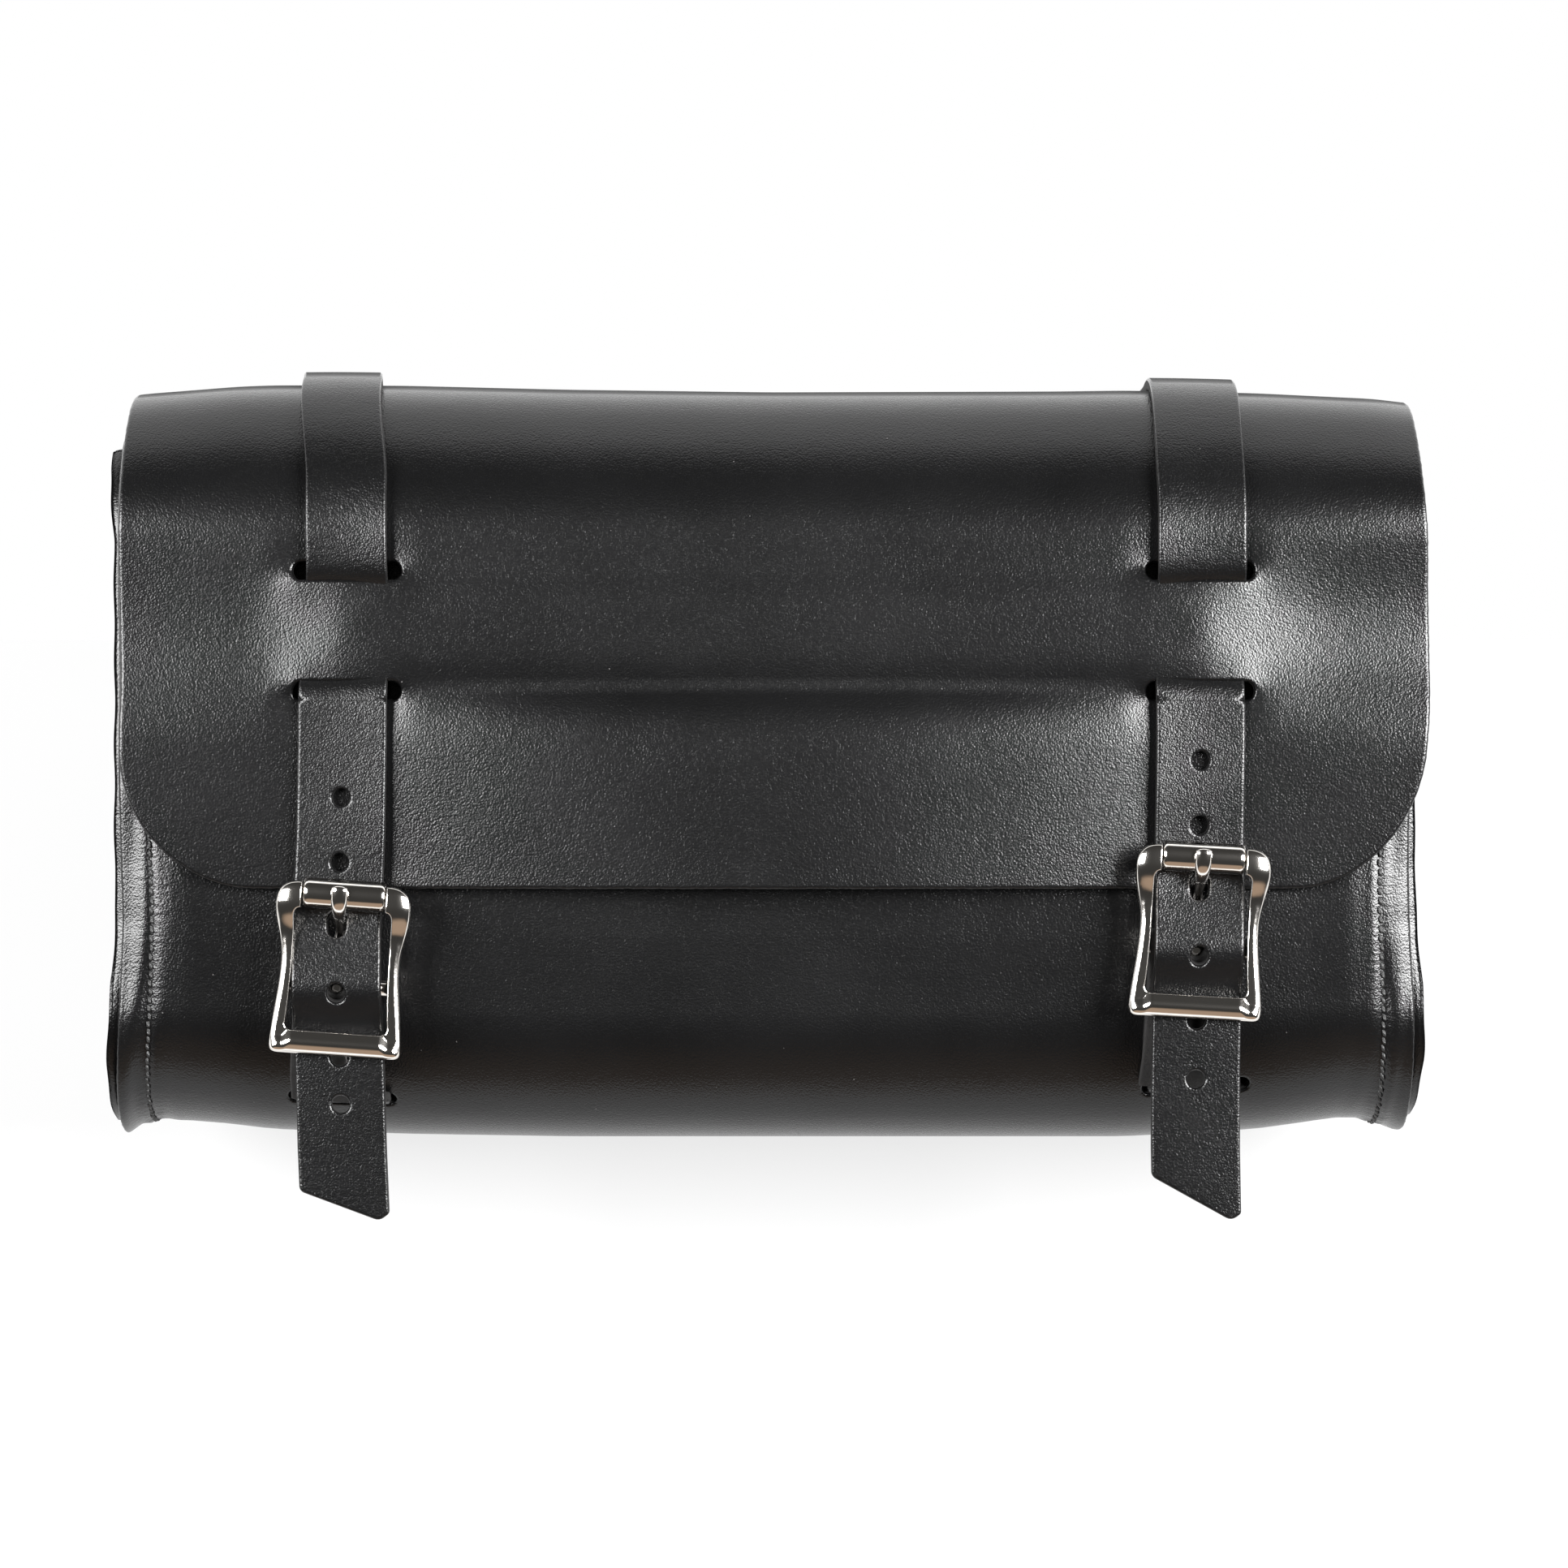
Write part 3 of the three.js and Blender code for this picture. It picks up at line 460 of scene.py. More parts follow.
def filled(loops, starts, ends, insets, lines):
    """A flat outline's points and counterclockwise triangles, and each edge's two ends."""
    first = np.cumsum([0] + [len(loop) for loop in loops])
    edges = []
    for i, loop in enumerate(loops):
        number = np.arange(len(loop))
        edges.append(np.stack([number, np.roll(number, -1)], 1) + first[i])
    edges = np.concatenate(edges)
    plane = [Vector(point) for point in fill_points(loops, starts, ends, insets, lines).tolist()]
    made = delaunay_2d_cdt(plane, edges.tolist(), [], 2, 1e-7)
    points = np.array([tuple(point) for point in made[0]])
    faces = np.array(made[2], dtype=np.int64)
    faces = faces[inside_of(points[faces].mean(1), starts, ends)]
    a, b, c = (points[faces[:, i]] for i in range(3))
    faces = np.where((np.cross(b - a, c - a) > 0)[:, None], faces, faces[:, ::-1])
    source = {old: new for new, olds in enumerate(made[3]) for old in olds}
    border = np.array([source[i] for i in range(len(starts))])
    return points, faces, border, border[edges[:, 1]]


def sheet_shell(loops, thickness, fillet, lines, place, flat=None):
    """Points, triangles and material numbers of a sheet: outer face 0, inner face 1, wall 2. The
    half thickness is t/2 - f + sqrt(f^2 - (f - d)^2) at a distance d below f from the edge."""
    loops = [turned(np.array(loop, float), i == 0) for i, loop in enumerate(loops)]
    starts = np.concatenate(loops)
    ends = np.concatenate([np.roll(loop, -1, 0) for loop in loops])
    insets = fillet * np.array([0.12, 0.35, 0.65, 1.0, 1.4])
    plane, top, border, after = filled(loops, starts, ends, insets, lines)
    rounded = np.ones(len(starts), bool)
    if flat is not None:
        middle = (starts + ends) / 2
        rounded = ~flat(middle[:, 0], middle[:, 1])
    depth = np.minimum(distance_to(plane, starts[rounded], ends[rounded]), fillet)
    half = thickness / 2 - fillet + np.sqrt(fillet ** 2 - (fillet - depth) ** 2)
    u, v = plane.T
    points = np.concatenate([place(u, v, half), place(u, v, -half)])
    count = len(plane)
    wall = np.concatenate([
        np.stack([border, border + count, after + count], 1),
        np.stack([border, after + count, after], 1),
    ])
    wall = wall[(wall[:, 0] != wall[:, 2]) & (wall[:, 1] != wall[:, 2])]
    faces = np.concatenate([top, top[:, ::-1] + count, wall])
    return points, faces, np.repeat([0, 1, 2], [len(top), len(top), len(wall)])


def loft(sections, closed_ends=True):
    """Points of closed rings one after another joined by triangles, with a fan over each end."""
    rings, count = sections.shape[:2]
    ring = np.concatenate([sections, sections[:, :1]], 1)
    faces = triangles_of_grid(rings, count + 1)
    row, column = faces // (count + 1), faces % (count + 1) % count
    faces = row * count + column
    points = sections.reshape(-1, 3)
    if closed_ends:
        ends = np.stack([sections[0].mean(0), sections[-1].mean(0)])
        around = np.arange(count)
        after = np.roll(around, -1)
        low = np.stack([np.full(count, len(points)), around, after], 1)
        last = (rings - 1) * count
        high = np.stack([np.full(count, len(points) + 1), after + last, around + last], 1)
        points = np.concatenate([points, ends])
        faces = np.concatenate([faces, low, high])
    return points, faces


def lathe(profile, count=40):
    """A profile of (radius, height) turned about the first axis, which stands for X."""
    angle = np.linspace(0, 2 * np.pi, count, endpoint=False)
    radius, height = np.array(profile, float).T
    x = np.repeat(height[:, None], count, 1)
    return loft(np.stack([x, radius[:, None] * np.cos(angle), radius[:, None] * np.sin(angle)], 2))


def rounded_block(half, centre, power=0.35, count=24):
    """A block with soft edges: a sphere whose sines and cosines are raised to a low power."""
    tilt = np.linspace(-np.pi / 2, np.pi / 2, count)[1:-1, None]
    spin = np.linspace(0, 2 * np.pi, 2 * count, endpoint=False)[None]

    def soft(value):
        return np.sign(value) * np.abs(value) ** power

    girth = soft(np.cos(tilt))
    rise = soft(np.sin(tilt)) * np.ones_like(spin)
    shape = np.stack([girth * soft(np.cos(spin)), girth * soft(np.sin(spin)), rise], 2)
    return loft(shape * np.array(half) + np.array(centre))


def smooth_step(value, low, high):
    """Zero up to low, one from high on, and s * s * (3 - 2 * s) of the share s between them."""
    share = np.clip((value - low) / (high - low), 0, 1)
    return share * share * (3 - 2 * share)


def blurred(values, width):
    """Values at even steps, averaged under a bell whose width is in steps. Past either end they
    go on turned half round about the end value."""
    reach = int(3 * width) + 1
    weight = np.exp(-0.5 * (np.arange(-reach, reach + 1) / width) ** 2)
    padded = np.pad(values, reach, mode="edge")
    padded[:reach] = 2 * values[0] - values[1:reach + 1][::-1]
    padded[-reach:] = 2 * values[-1] - values[-reach - 1:-1][::-1]
    return np.convolve(padded, weight / weight.sum(), "valid")


class Section:
    """The outline of the bag across its width, by the run along it from the flap's hinge:
    up the back, over the top, down the front, along the bottom and up the back again."""

    def __init__(self, sizes):
        self.width = sizes.width / MM
        self.height = sizes.height / MM
        self.leather = sizes.leather / MM
        self.strap = sizes.strap_thickness / MM
        self.seam = sizes.seam_inset / MM
        self.pitch = sizes.stitch_pitch / MM
        self.bottom = -self.height / 2
        self.back_y = -(self.strap + FIT)
        self.front_y = self.back_y - sizes.depth / MM
        self.above = FIT + self.strap / 2
        hinge = np.array([self.back_y, self.bottom + HINGE_HEIGHT])
        corner_y = self.front_y + FRONT_BULGE
        crown = self.bottom + BOTTOM_FRONT_RADIUS + BULGE_ABOVE_CORNER
        corners = np.array([
            [self.back_y, -self.bottom], [corner_y, -self.bottom], [self.front_y, crown],
            [corner_y, self.bottom], [self.back_y, self.bottom],
        ])
        radii = [
            TOP_BACK_RADIUS, TOP_FRONT_RADIUS, BULGE_RADIUS, BOTTOM_FRONT_RADIUS, BOTTOM_BACK_RADIUS
        ]
        arcs = []
        for i, radius in enumerate(radii):
            arcs.append(self.arc(corners[i - 1], corners[i], corners[(i + 1) % 5], radius))
        self.at = np.concatenate([hinge[None], *[a for a, _ in arcs], hinge[None]])
        self.normal = np.concatenate([[[1, 0]], *[n for _, n in arcs], [[1, 0]]])
        self.run = np.concatenate([[0], np.cumsum(np.linalg.norm(np.diff(self.at, axis=0), axis=1))])
        self.end = self.run[-1]
        self.front_top = self.front(FRONT_PANEL_HEIGHT)
        self.flap_end = self.front(sizes.flap_edge / MM)
        self.upper_slot = self.front(UPPER_SLOT_HEIGHT)
        self.lower_slot = self.front(LOWER_SLOT_HEIGHT)
        self.back_slot = self.back(BACK_SLOT_HEIGHT)
        self.foremost = self.at[:, 0].min()
        self.strap_x = sizes.strap_spacing / MM / 2
        self.set_flap()

    def arc(self, before, corner, after, radius):
        """Points and outward normals of one corner's arc, two degrees apart."""
        into, out = corner - before, after - corner
        into, out = into / np.linalg.norm(into), out / np.linalg.norm(out)
        turn = math.atan2(into[0] * out[1] - into[1] * out[0], into @ out)
        start = corner - into * radius * math.tan(turn / 2)
        left = np.array([-into[1], into[0]])
        angle = np.linspace(0, turn, max(4, round(math.degrees(turn) / 2)))
        cos, sin = np.cos(angle), np.sin(angle)
        normal = np.stack([left[1] * sin - left[0] * cos, -left[0] * sin - left[1] * cos], 1)
        return start + left * radius + normal * radius, normal

    def on(self, run):
        """Place and outward normal in Y and Z after a run, which wraps round at the hinge."""
        run = np.mod(run, self.end)
        at = np.stack([np.interp(run, self.run, self.at[:, i]) for i in range(2)], -1)
        normal = np.stack([np.interp(run, self.run, self.normal[:, i]) for i in range(2)], -1)
        return at, normal / np.linalg.norm(normal, axis=-1, keepdims=True)

    def off(self, run, offset):
        """Place at an offset outwards from the wrap's outer face."""
        at, normal = self.on(run)
        return at + normal * np.asarray(offset)[..., None]

    def front(self, height):
        """The run where the front passes a height above the bottom on its way down."""
        kept = (self.at[:, 0] < (self.front_y + self.back_y) / 2)
        return float(np.interp(-(self.bottom + height), -self.at[kept, 1], self.run[kept]))

    def back(self, height):
        """The run where the back passes a height above the bottom on its way up."""
        kept = (self.at[:, 0] > (self.front_y + self.back_y) / 2) & (self.run > self.end / 2)
        return float(np.interp(self.bottom + height, self.at[kept, 1], self.run[kept]))

    def set_flap(self):
        """The flap's gap from the bag under the straps, as straight stretches with soft bends."""
        bridge = self.strap + 2 * FIT
        top = self.front_top
        knots = [
            (0, -self.leather), (top - 32, -self.leather), (top - 5, FIT), (top + 4, 2 * FIT),
            (self.upper_slot - 10, bridge), (self.lower_slot + 10, bridge),
            (self.flap_end, FLAP_EDGE_GAP),
        ]
        self.bridge = bridge
        self.steps = np.arange(-20, self.flap_end + 20, 0.5)
        self.core = blurred(np.interp(self.steps, *zip(*knots)), 5)

    def lift(self, x, run):
        """Gap between the bag and the flap's inner face. Each bridge is arched over its strap and
        dies away towards the bag's end in a widening fan; between the straps the flap stays high
        at the bridges and, below the lower slots, rises from each strap towards the middle."""
        core = np.interp(run, self.steps, self.core)
        out = np.abs(x)
        steep = np.interp(
            x, (-self.strap_x, self.strap_x), (SIDES["left"]["steep"], SIDES["right"]["steep"])
        )
        past = np.clip(out - self.crest(x), 0, None)
        middle = (self.upper_slot + self.lower_slot) / 2
        fan = np.exp(-np.abs((run - middle) / (12 + np.where(run < middle, 0.16, 0.08) * past)) ** 2.3)
        fall = np.where(x < 0, self.fall(past, "left"), self.fall(past, "right"))
        crown = self.bridge + ARCH_RISE * steep
        arch = crown - steep * fall
        share = np.clip((run - self.lower_slot) / (self.flap_end - self.lower_slot), 0, 1)
        inner = np.clip(self.strap_x - 9.0 - np.sqrt(x * x + 144), 0, None)
        reach = 24 + 22 * share
        grow = steep * (1 - np.exp(-share / 0.12)) * reach * np.arctan(inner / reach)
        bridge = (arch - core) * fan * smooth_step(past, 0, 1.5)
        return core + bridge + grow + self.slot_lips(out, run) + self.ridge(x, run) * steep

    def fall(self, past, name):
        """How far a bridge of unit slope has dropped at a distance past its crown."""
        near, away, share = SIDES[name]["fade"]
        far = np.linspace(0, 60, 121)
        slope = smooth_step(far, 0, 8) * (1 - share * smooth_step(far, near, away))
        return np.interp(past, far, np.cumsum(slope) * 0.5)

    def slot_lips(self, out, run):
        """Across a strap's width the leather dips on the far side of a slot and stands up on the
        bridge's side, so that the strap passes from one to the other with little bend."""
        near = 1 - smooth_step(np.abs(out - self.strap_x), 8.5, 17)
        total = 0
        for away in (self.upper_slot - SLOT_SHIFT - run, run - self.lower_slot - SLOT_SHIFT):
            lip = LIP_UP - (LIP_UP + LIP_DOWN) * smooth_step(away, -2.2, 2.2)
            total = total + lip * np.exp(-(away / 8) ** 2)
        return near * total

    def crest(self, x):
        """Where a side's bridge is highest, a little inside its strap's middle."""
        return self.strap_x - np.where(x < 0, SIDES["left"]["inside"], SIDES["right"]["inside"])

    def ridge(self, x, run):
        """Share of the bridge's crown on its inner half, which runs on level to the middle."""
        middle = (self.upper_slot + self.lower_slot) / 2
        band = np.exp(-((run - middle) / 11) ** 4)
        start = self.crest(x)
        return ARCH_RISE * band * (1 - smooth_step(np.abs(x), start, start + 1.5))

    def seam_form(self, x, run):
        """How far the sewn edge stands off the plain wrap: a narrow groove at the thread, a swell
        beside it, puckers between stitches and an edge that leans back above and flares below."""
        past = np.abs(x) - (self.width / 2 - self.seam)
        groove = -0.5 * np.exp(-(past / 0.85) ** 2)
        swell = 0.45 * np.exp(-((past + 7) / 6.5) ** 2)
        edge = np.clip(past, 0, None) / self.seam
        at, _ = self.on(run)
        low = 1 - smooth_step(at[..., 1], self.bottom + 2, self.bottom + 45)
        height = at[..., 1] - self.bottom
        lean = np.interp(
            height, (0, 8, 28, 38, 50, 62, 76, 110, 170),
            (1.9, 1.5, 0.2, -0.9, -1.7, -1.7, -1.0, -1.0, -0.6),
        )
        stitches = np.cos(2 * np.pi * run / self.pitch) * (1 + 0.5 * np.sin(run * 0.31 + x))
        pucker = 0.10 * np.exp(-(past / 3.0) ** 2) * stitches
        wander = 0.3 * np.sin(run / 13.0 + x) * np.exp(-((past - 3) / 6) ** 2) * (0.4 + low)
        return groove + swell + edge * lean + pucker + wander

    def bow(self, points):
        """The sag of the bag's bottom and top lines, fading out towards the middle height, and
        the lean of its two sides, fading out towards the middle of its width."""
        x, z = points[..., 0], points[..., 2]
        low = 1 - smooth_step(z, self.bottom + 1, self.bottom + 46)
        high = smooth_step(z, -self.bottom - 40, -self.bottom - 2)
        wide = np.linspace(-152, 152, 305)
        tall = np.linspace(-90, 95, 186)
        bottom = blurred(np.interp(wide, *BOTTOM_BOW), 2)
        top = blurred(np.interp(wide, *TOP_BOW), 2.5)
        left = blurred(np.interp(tall, *LEFT_LEAN), 4)
        right = blurred(np.interp(tall, *RIGHT_LEAN), 4)
        moved = points.copy()
        moved[..., 0] += smooth_step(-x, 100, 140) * np.interp(z, tall, left)
        moved[..., 0] += smooth_step(x, 100, 140) * np.interp(z, tall, right)
        moved[..., 2] += low * np.interp(x, wide, bottom) + high * np.interp(x, wide, top)
        return moved


def at_x(x, yz):
    """Points in space from their X and their place in Y and Z."""
    wide = np.broadcast_to(np.asarray(x, float)[..., None], yz.shape[:-1] + (1,))
    return np.concatenate([wide, yz], -1)


def slot_loop(x, run, half=SLOT_HALF, seed=0):
    """A slot across a sheet with a punched round end at each side."""
    reach = SLOT_LENGTH / 2
    corners = rectangle(x - reach, x + reach, run - half, run + half)
    return ragged(rounded_outline(corners, [half] * 4, 0.6), 0.05, seed)


class Path:
    """A smooth line in Y and Z by its length, made from a jagged one by averaging under a bell."""

    def __init__(self, points, softness):
        points = np.array(points, float)
        run = np.concatenate([[0], np.cumsum(np.linalg.norm(np.diff(points, axis=0), axis=1))])
        steps = np.arange(0, run[-1], 0.4)
        even = np.stack([np.interp(steps, run, points[:, i]) for i in range(2)], 1)
        soft = np.stack([blurred(even[:, i], softness / 0.4) for i in range(2)], 1)
        self.at = soft
        self.run = np.concatenate([[0], np.cumsum(np.linalg.norm(np.diff(soft, axis=0), axis=1))])
        travel = np.gradient(soft, self.run, axis=0)
        travel /= np.linalg.norm(travel, axis=1)[:, None]
        self.normal = np.stack([travel[:, 1], -travel[:, 0]], 1)
        self.length = self.run[-1]

    def on(self, run):
        """Place and normal at a run; past either end the line goes on straight."""
        at = np.stack([np.interp(run, self.run, self.at[:, i]) for i in range(2)], -1)
        normal = np.stack([np.interp(run, self.run, self.normal[:, i]) for i in range(2)], -1)
        normal /= np.linalg.norm(normal, axis=-1, keepdims=True)
        past = (np.asarray(run) - np.clip(run, 0, self.length))[..., None]
        return at + past * np.stack([-normal[..., 1], normal[..., 0]], -1), normal

    def nearest(self, point):
        """The run of the line's point that is nearest to a place in Y and Z."""
        return float(self.run[np.linalg.norm(self.at - np.array(point), axis=1).argmin()])

    def last_at_height(self, z):
        """The run where the last downward stretch passes a height."""
        tail = self.run > self.run[-1] - 140
        return float(np.interp(-z, -self.at[tail, 1], self.run[tail]))


def strap_path(bag, side):
    """A strap's whole middle line: in at the front slot, along the bottom inside the bag, out at
    the back slot, up behind the bag, over the flap, behind the bridge, through the buckle and
    down to its tip."""
    front = bag.front(side["slot"])
    above, leather = bag.above, bag.leather
    x = side["sign"] * bag.strap_x

    def on_flap(run):
        return float(bag.lift(np.array(x), np.array(run))) + leather + above

    runs = np.arange(2, bag.upper_slot - CROSSING - 3, 3.0)
    over = bag.bridge - LIP_DOWN + leather + above
    under = bag.bridge + LIP_UP - above
    upper, lower = bag.end + bag.upper_slot - SLOT_SHIFT, bag.end + bag.lower_slot + SLOT_SHIFT
    knots = [
        (front - CROSSING - CROSSING_LEAD, above), (front - CROSSING, above),
        (front + CROSSING, -leather - above), (bag.back_slot - CROSSING, -leather - above),
        (bag.back_slot + CROSSING, above), (bag.end, above),
    ]
    knots += [(bag.end + run, on_flap(run)) for run in runs]
    knots += [
        (upper - 1.5, over), (upper + 2.0, over - 1.2), (upper + 4.0, under), (lower - 4.0, under),
        (lower - 2.0, over - 1.2), (lower + 1.5, over),
    ]
    lead = bag.front(side["bar"] + ROLLER_RISE + HOLE_PITCH)
    knots += [(bag.end + lead, on_flap(lead))]
    run, offset = np.array(knots).T
    steps = np.arange(run[0], run[-1], 0.5)
    points = bag.off(steps, np.interp(steps, run, offset))
    bar = bag.bottom + side["bar"]
    slope = math.radians(HUMP_SLOPE)
    ahead, rise = (HUMP_OUT - BAR_OUT) * math.cos(slope), (HUMP_OUT - BAR_OUT) * math.sin(slope)
    places = [
        (STRAP_OUT, ROLLER_RISE), (BAR_OUT + ahead, rise), (HUMP_OUT, 0), (BAR_OUT + ahead, -rise),
        (KEEPER_OUT, -KEEPER_DROP), (KEEPER_OUT - 2, -side["bar"] - TAIL_DROP - 2),
    ]
    tail = [(bag.foremost - out, bar + up) for out, up in places]
    return Path(np.concatenate([points, tail]), 1.1)


def strap_drift(side, z):
    """Sideways wander of a strap's free end, as the hand left it."""
    heights, left, right = STRAP_DRIFT
    return np.interp(z, heights, left if side["sign"] < 0 else right)


def strap_twist(side, z):
    """Slope across a strap: below its slot it turns a little away from the middle of the bag."""
    return -TWIST * side["sign"] * smooth_step(z, -45, -5)


def strap_lean(side, y, z):
    """How far a strap leans sideways as it climbs over the top of the bag. The left one goes on
    leaning over the flat top and comes back behind the bag."""
    if side["sign"] > 0:
        return 0.7 * smooth_step(z, 15, 45) + 0.4 * smooth_step(z, 45, 62) + 0.3 * smooth_step(z, 62, 88)
    behind = smooth_step(y, -62, -20)
    climb = smooth_step(z, 62 - 60 * behind, 88 - 40 * behind)
    return -2.7 * climb - 0.085 * np.clip(y + 62, 0, 45) * climb


def strap_narrowing(side, z):
    """How far the left strap's outer edge is cut back above its slots, as a share of its half
    width and a shift."""
    return smooth_step(z, 25, 45) if side["sign"] < 0 else np.zeros_like(z)


# Operators' shared work
def sizes_of(context):
    return context.scene.saddlebag_sizes


def carried(piece, body, slot, *nodes):
    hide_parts(*nodes)
    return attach(piece, body)


def hinged(piece, bag, node):
    """A piece that stands in for a CAD node: hides that node and bakes the piece's placement into its
    mesh.
    """
    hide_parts(node)
    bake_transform(piece)


def leather_set(kind):
    """Grain, flesh side and cut edge of one leather."""
    return [
        material_named(f"{kind}_grain"), material_named("leather_flesh_side"),
        material_named("leather_cut_edge"),
    ]


class SADDLEBAG_OT_wrap(bpy.types.Operator):
    """Front, bottom and back of the bag in one bent sheet"""

    bl_idname = "saddlebag.wrap"
    bl_label = "Make the wrap"

    def execute(self, context):
        bag = Section(sizes_of(context))
        half = bag.width / 2
        low, high = bag.front_top, bag.end - HINGE_STRIP
        outline = rounded_outline(rectangle(-half, half, low, high), [1.2, 1.2, 0, 0], 1.0)
        held = outline[:, 1] > high - 1
        outline = np.where(held[:, None], outline, ragged(outline, 0.09, 3))
        loops = [outline]
        for i, side in enumerate(SIDES.values()):
            x = side["sign"] * bag.strap_x
            loops += [
                slot_loop(x + side["low_slot_shift"], bag.front(side["slot"]), seed=i),
                slot_loop(x, bag.back_slot, seed=i + 5),
            ]
        seam = half - bag.seam
        across = np.concatenate([
            np.linspace(-half, -seam + 9, 19), np.arange(-seam + 11, seam - 10, 4.2),
            np.linspace(seam - 9, half, 19),
        ])

        def place(u, v, w):
            offset = w - bag.leather / 2 + bag.seam_form(u, v)
            return bag.bow(at_x(u, bag.off(v, offset)))

        lines = (across, np.arange(low, high, 0.9))
        piece = sheet(
            "wrap_sheet", loops, bag.leather, 0.7, lines, place, leather_set("bag"),
            lambda u, v: v > high - 1e-3,
        )
        carried(piece, "bag", "bag_leather", "body_panel")
        return {"FINISHED"}


class SADDLEBAG_OT_flap(bpy.types.Operator):
    """The flap with its bridges, bent over the top of the bag"""

    bl_idname = "saddlebag.flap"
    bl_label = "Make the flap"

    def execute(self, context):
        sizes = sizes_of(context)
        bag = Section(sizes)
        shift, half = sizes.flap_shift / MM, sizes.flap_width / MM / 2
        left, right = shift - half, shift + half
        radius = sizes.flap_corner / MM
        end = bag.flap_end + 0.5
        corners = rectangle(left, right, -HINGE_STRIP, end)
        outline = rounded_outline(corners, [0, 0, radius, radius], 1.0)
        held = outline[:, 1] < 1 - HINGE_STRIP
        outline = np.where(held[:, None], outline, ragged(outline, 0.09, 9))
        loops = [outline]
        for i, side in enumerate(SIDES.values()):
            x = side["sign"] * bag.strap_x + side["slot_shift"]
            loops += [
                slot_loop(x, bag.upper_slot - SLOT_SHIFT, seed=i + 20),
                slot_loop(x, bag.lower_slot + SLOT_SHIFT, seed=i + 25),
            ]

        def place(u, v, w):
            return bag.bow(at_x(u, bag.off(v, bag.lift(u, np.maximum(v, 0)) + bag.leather / 2 + w)))

        lines = (np.arange(left, right, 2.1), np.arange(-HINGE_STRIP, end, 2.1))
        piece = sheet(
            "flap_sheet", loops, bag.leather, 0.75, lines, place, leather_set("bag"),
            lambda u, v: v < 1e-3 - HINGE_STRIP,
        )
        hinged(piece, bag, "flap")
        return {"FINISHED"}


def gusset_shell(bag, sign):
    """A tray: a flange along the wrap's inner face, a round bend and a flat end plate that is
    ruled from the bend to the tray's straight top line."""
    half = GUSSET_THICKNESS / 2
    lining = -bag.leather - SEWN - half
    top = bag.end - bag.seam
    run = np.linspace(bag.front_top, top, 330)
    plate = bag.width / 2 - GUSSET_RECESS - half
    edge = bag.width / 2 + GUSSET_PROUD
    arc = np.linspace(0, np.pi / 2, 9)
    x = np.concatenate(
        [np.linspace(edge, plate + GUSSET_BEND, 12)[:-1], plate + GUSSET_BEND * (1 - np.sin(arc))]
    )
    depth = np.concatenate([np.zeros(11), GUSSET_BEND * (1 - np.cos(arc))])
    tilt = np.concatenate([np.zeros(11), arc])
    at, normal = bag.on(run)
    form = bag.seam_form(np.broadcast_to(x, (len(run), len(x))), run[:, None])
    form = form * np.clip((x - plate) / GUSSET_BEND, 0, 1)
    proud = np.interp(at[:, 1], (-85, -70, -50, -30, 0, 50, 70), (0.3, 0.9, 1.0, 0.2, -0.2, -0.3, 0.9))
    wave = 0.25 * np.sin(run / 4.1) * np.sin(run / 9.7 + 2)
    spread = np.clip((x - plate - GUSSET_BEND) / (edge - plate - GUSSET_BEND), 0, 1)
    along = x[None] + (proud + wave)[:, None] * spread[None]
    yz = at[:, None] + normal[:, None] * (lining - depth[None] + form)[..., None]
    flange = np.concatenate([along[..., None], yz], 2)
    flange_normal = at_x(
        np.broadcast_to(np.sin(tilt), yz.shape[:2]), normal[:, None] * np.cos(tilt)[None, :, None]
    )
    share = np.linspace(0, 1, 14)[1:]
    rim = flange[:, -1]
    line = rim[0] + (rim[-1] - rim[0]) * smooth_step(np.linspace(0, 1, len(run)), 0, 1)[:, None]
    face = rim[:, None] + (line - rim)[:, None] * share[None, :, None]
    far = np.linalg.norm((face - rim[:, None])[..., 1:], axis=2)
    face[..., 0] += 0.9 * (1 - np.exp(-far / 14))
    face_normal = np.broadcast_to([1.0, 0, 0], face.shape)
    surface = np.concatenate([flange, face], 1)
    normals = np.concatenate([flange_normal, face_normal], 1)
    return surface * np.array([sign, 1, 1]), normals * np.array([sign, 1, 1])


def slab(surface, normals, thickness):
    """Two copies of a grid surface half a thickness to each side, joined along the four rims."""
    rows, columns = surface.shape[:2]
    inset = np.ones((rows, columns))
    inset[:, 0] = 0.72
    outer = surface + normals * (thickness / 2) * inset[..., None]
    inner = surface - normals * (thickness / 2) * inset[..., None]
    count = rows * columns
    faces = triangles_of_grid(rows, columns)
    number = np.arange(count).reshape(rows, columns)
    rim = np.concatenate([number[0, :-1], number[:-1, -1], number[-1, :0:-1], number[:0:-1, 0]])
    after = np.roll(rim, -1)
    wall = np.concatenate([
        np.stack([rim, after, after + count], 1), np.stack([rim, after + count, rim + count], 1),
    ])
    points = np.concatenate([outer.reshape(-1, 3), inner.reshape(-1, 3)])
    index = np.repeat([0, 1, 2], [len(faces), len(faces), len(wall)])
    return points, np.concatenate([faces, faces[:, ::-1] + count, wall[:, ::-1]]), index


class SADDLEBAG_OT_gussets(bpy.types.Operator):
    """The two end trays with their flanges"""

    bl_idname = "saddlebag.gussets"
    bl_label = "Make the gussets"

    def execute(self, context):
        bag = Section(sizes_of(context))
        for name, side in SIDES.items():
            surface, normals = gusset_shell(bag, side["sign"])
            points, faces, index = slab(surface, normals, GUSSET_THICKNESS)
            piece = new_piece(f"{name}_gusset_tray", bag.bow(points), faces, leather_set("bag"), index)
            carried(piece, "bag", "bag_leather", f"{name}_gusset")
        return {"FINISHED"}


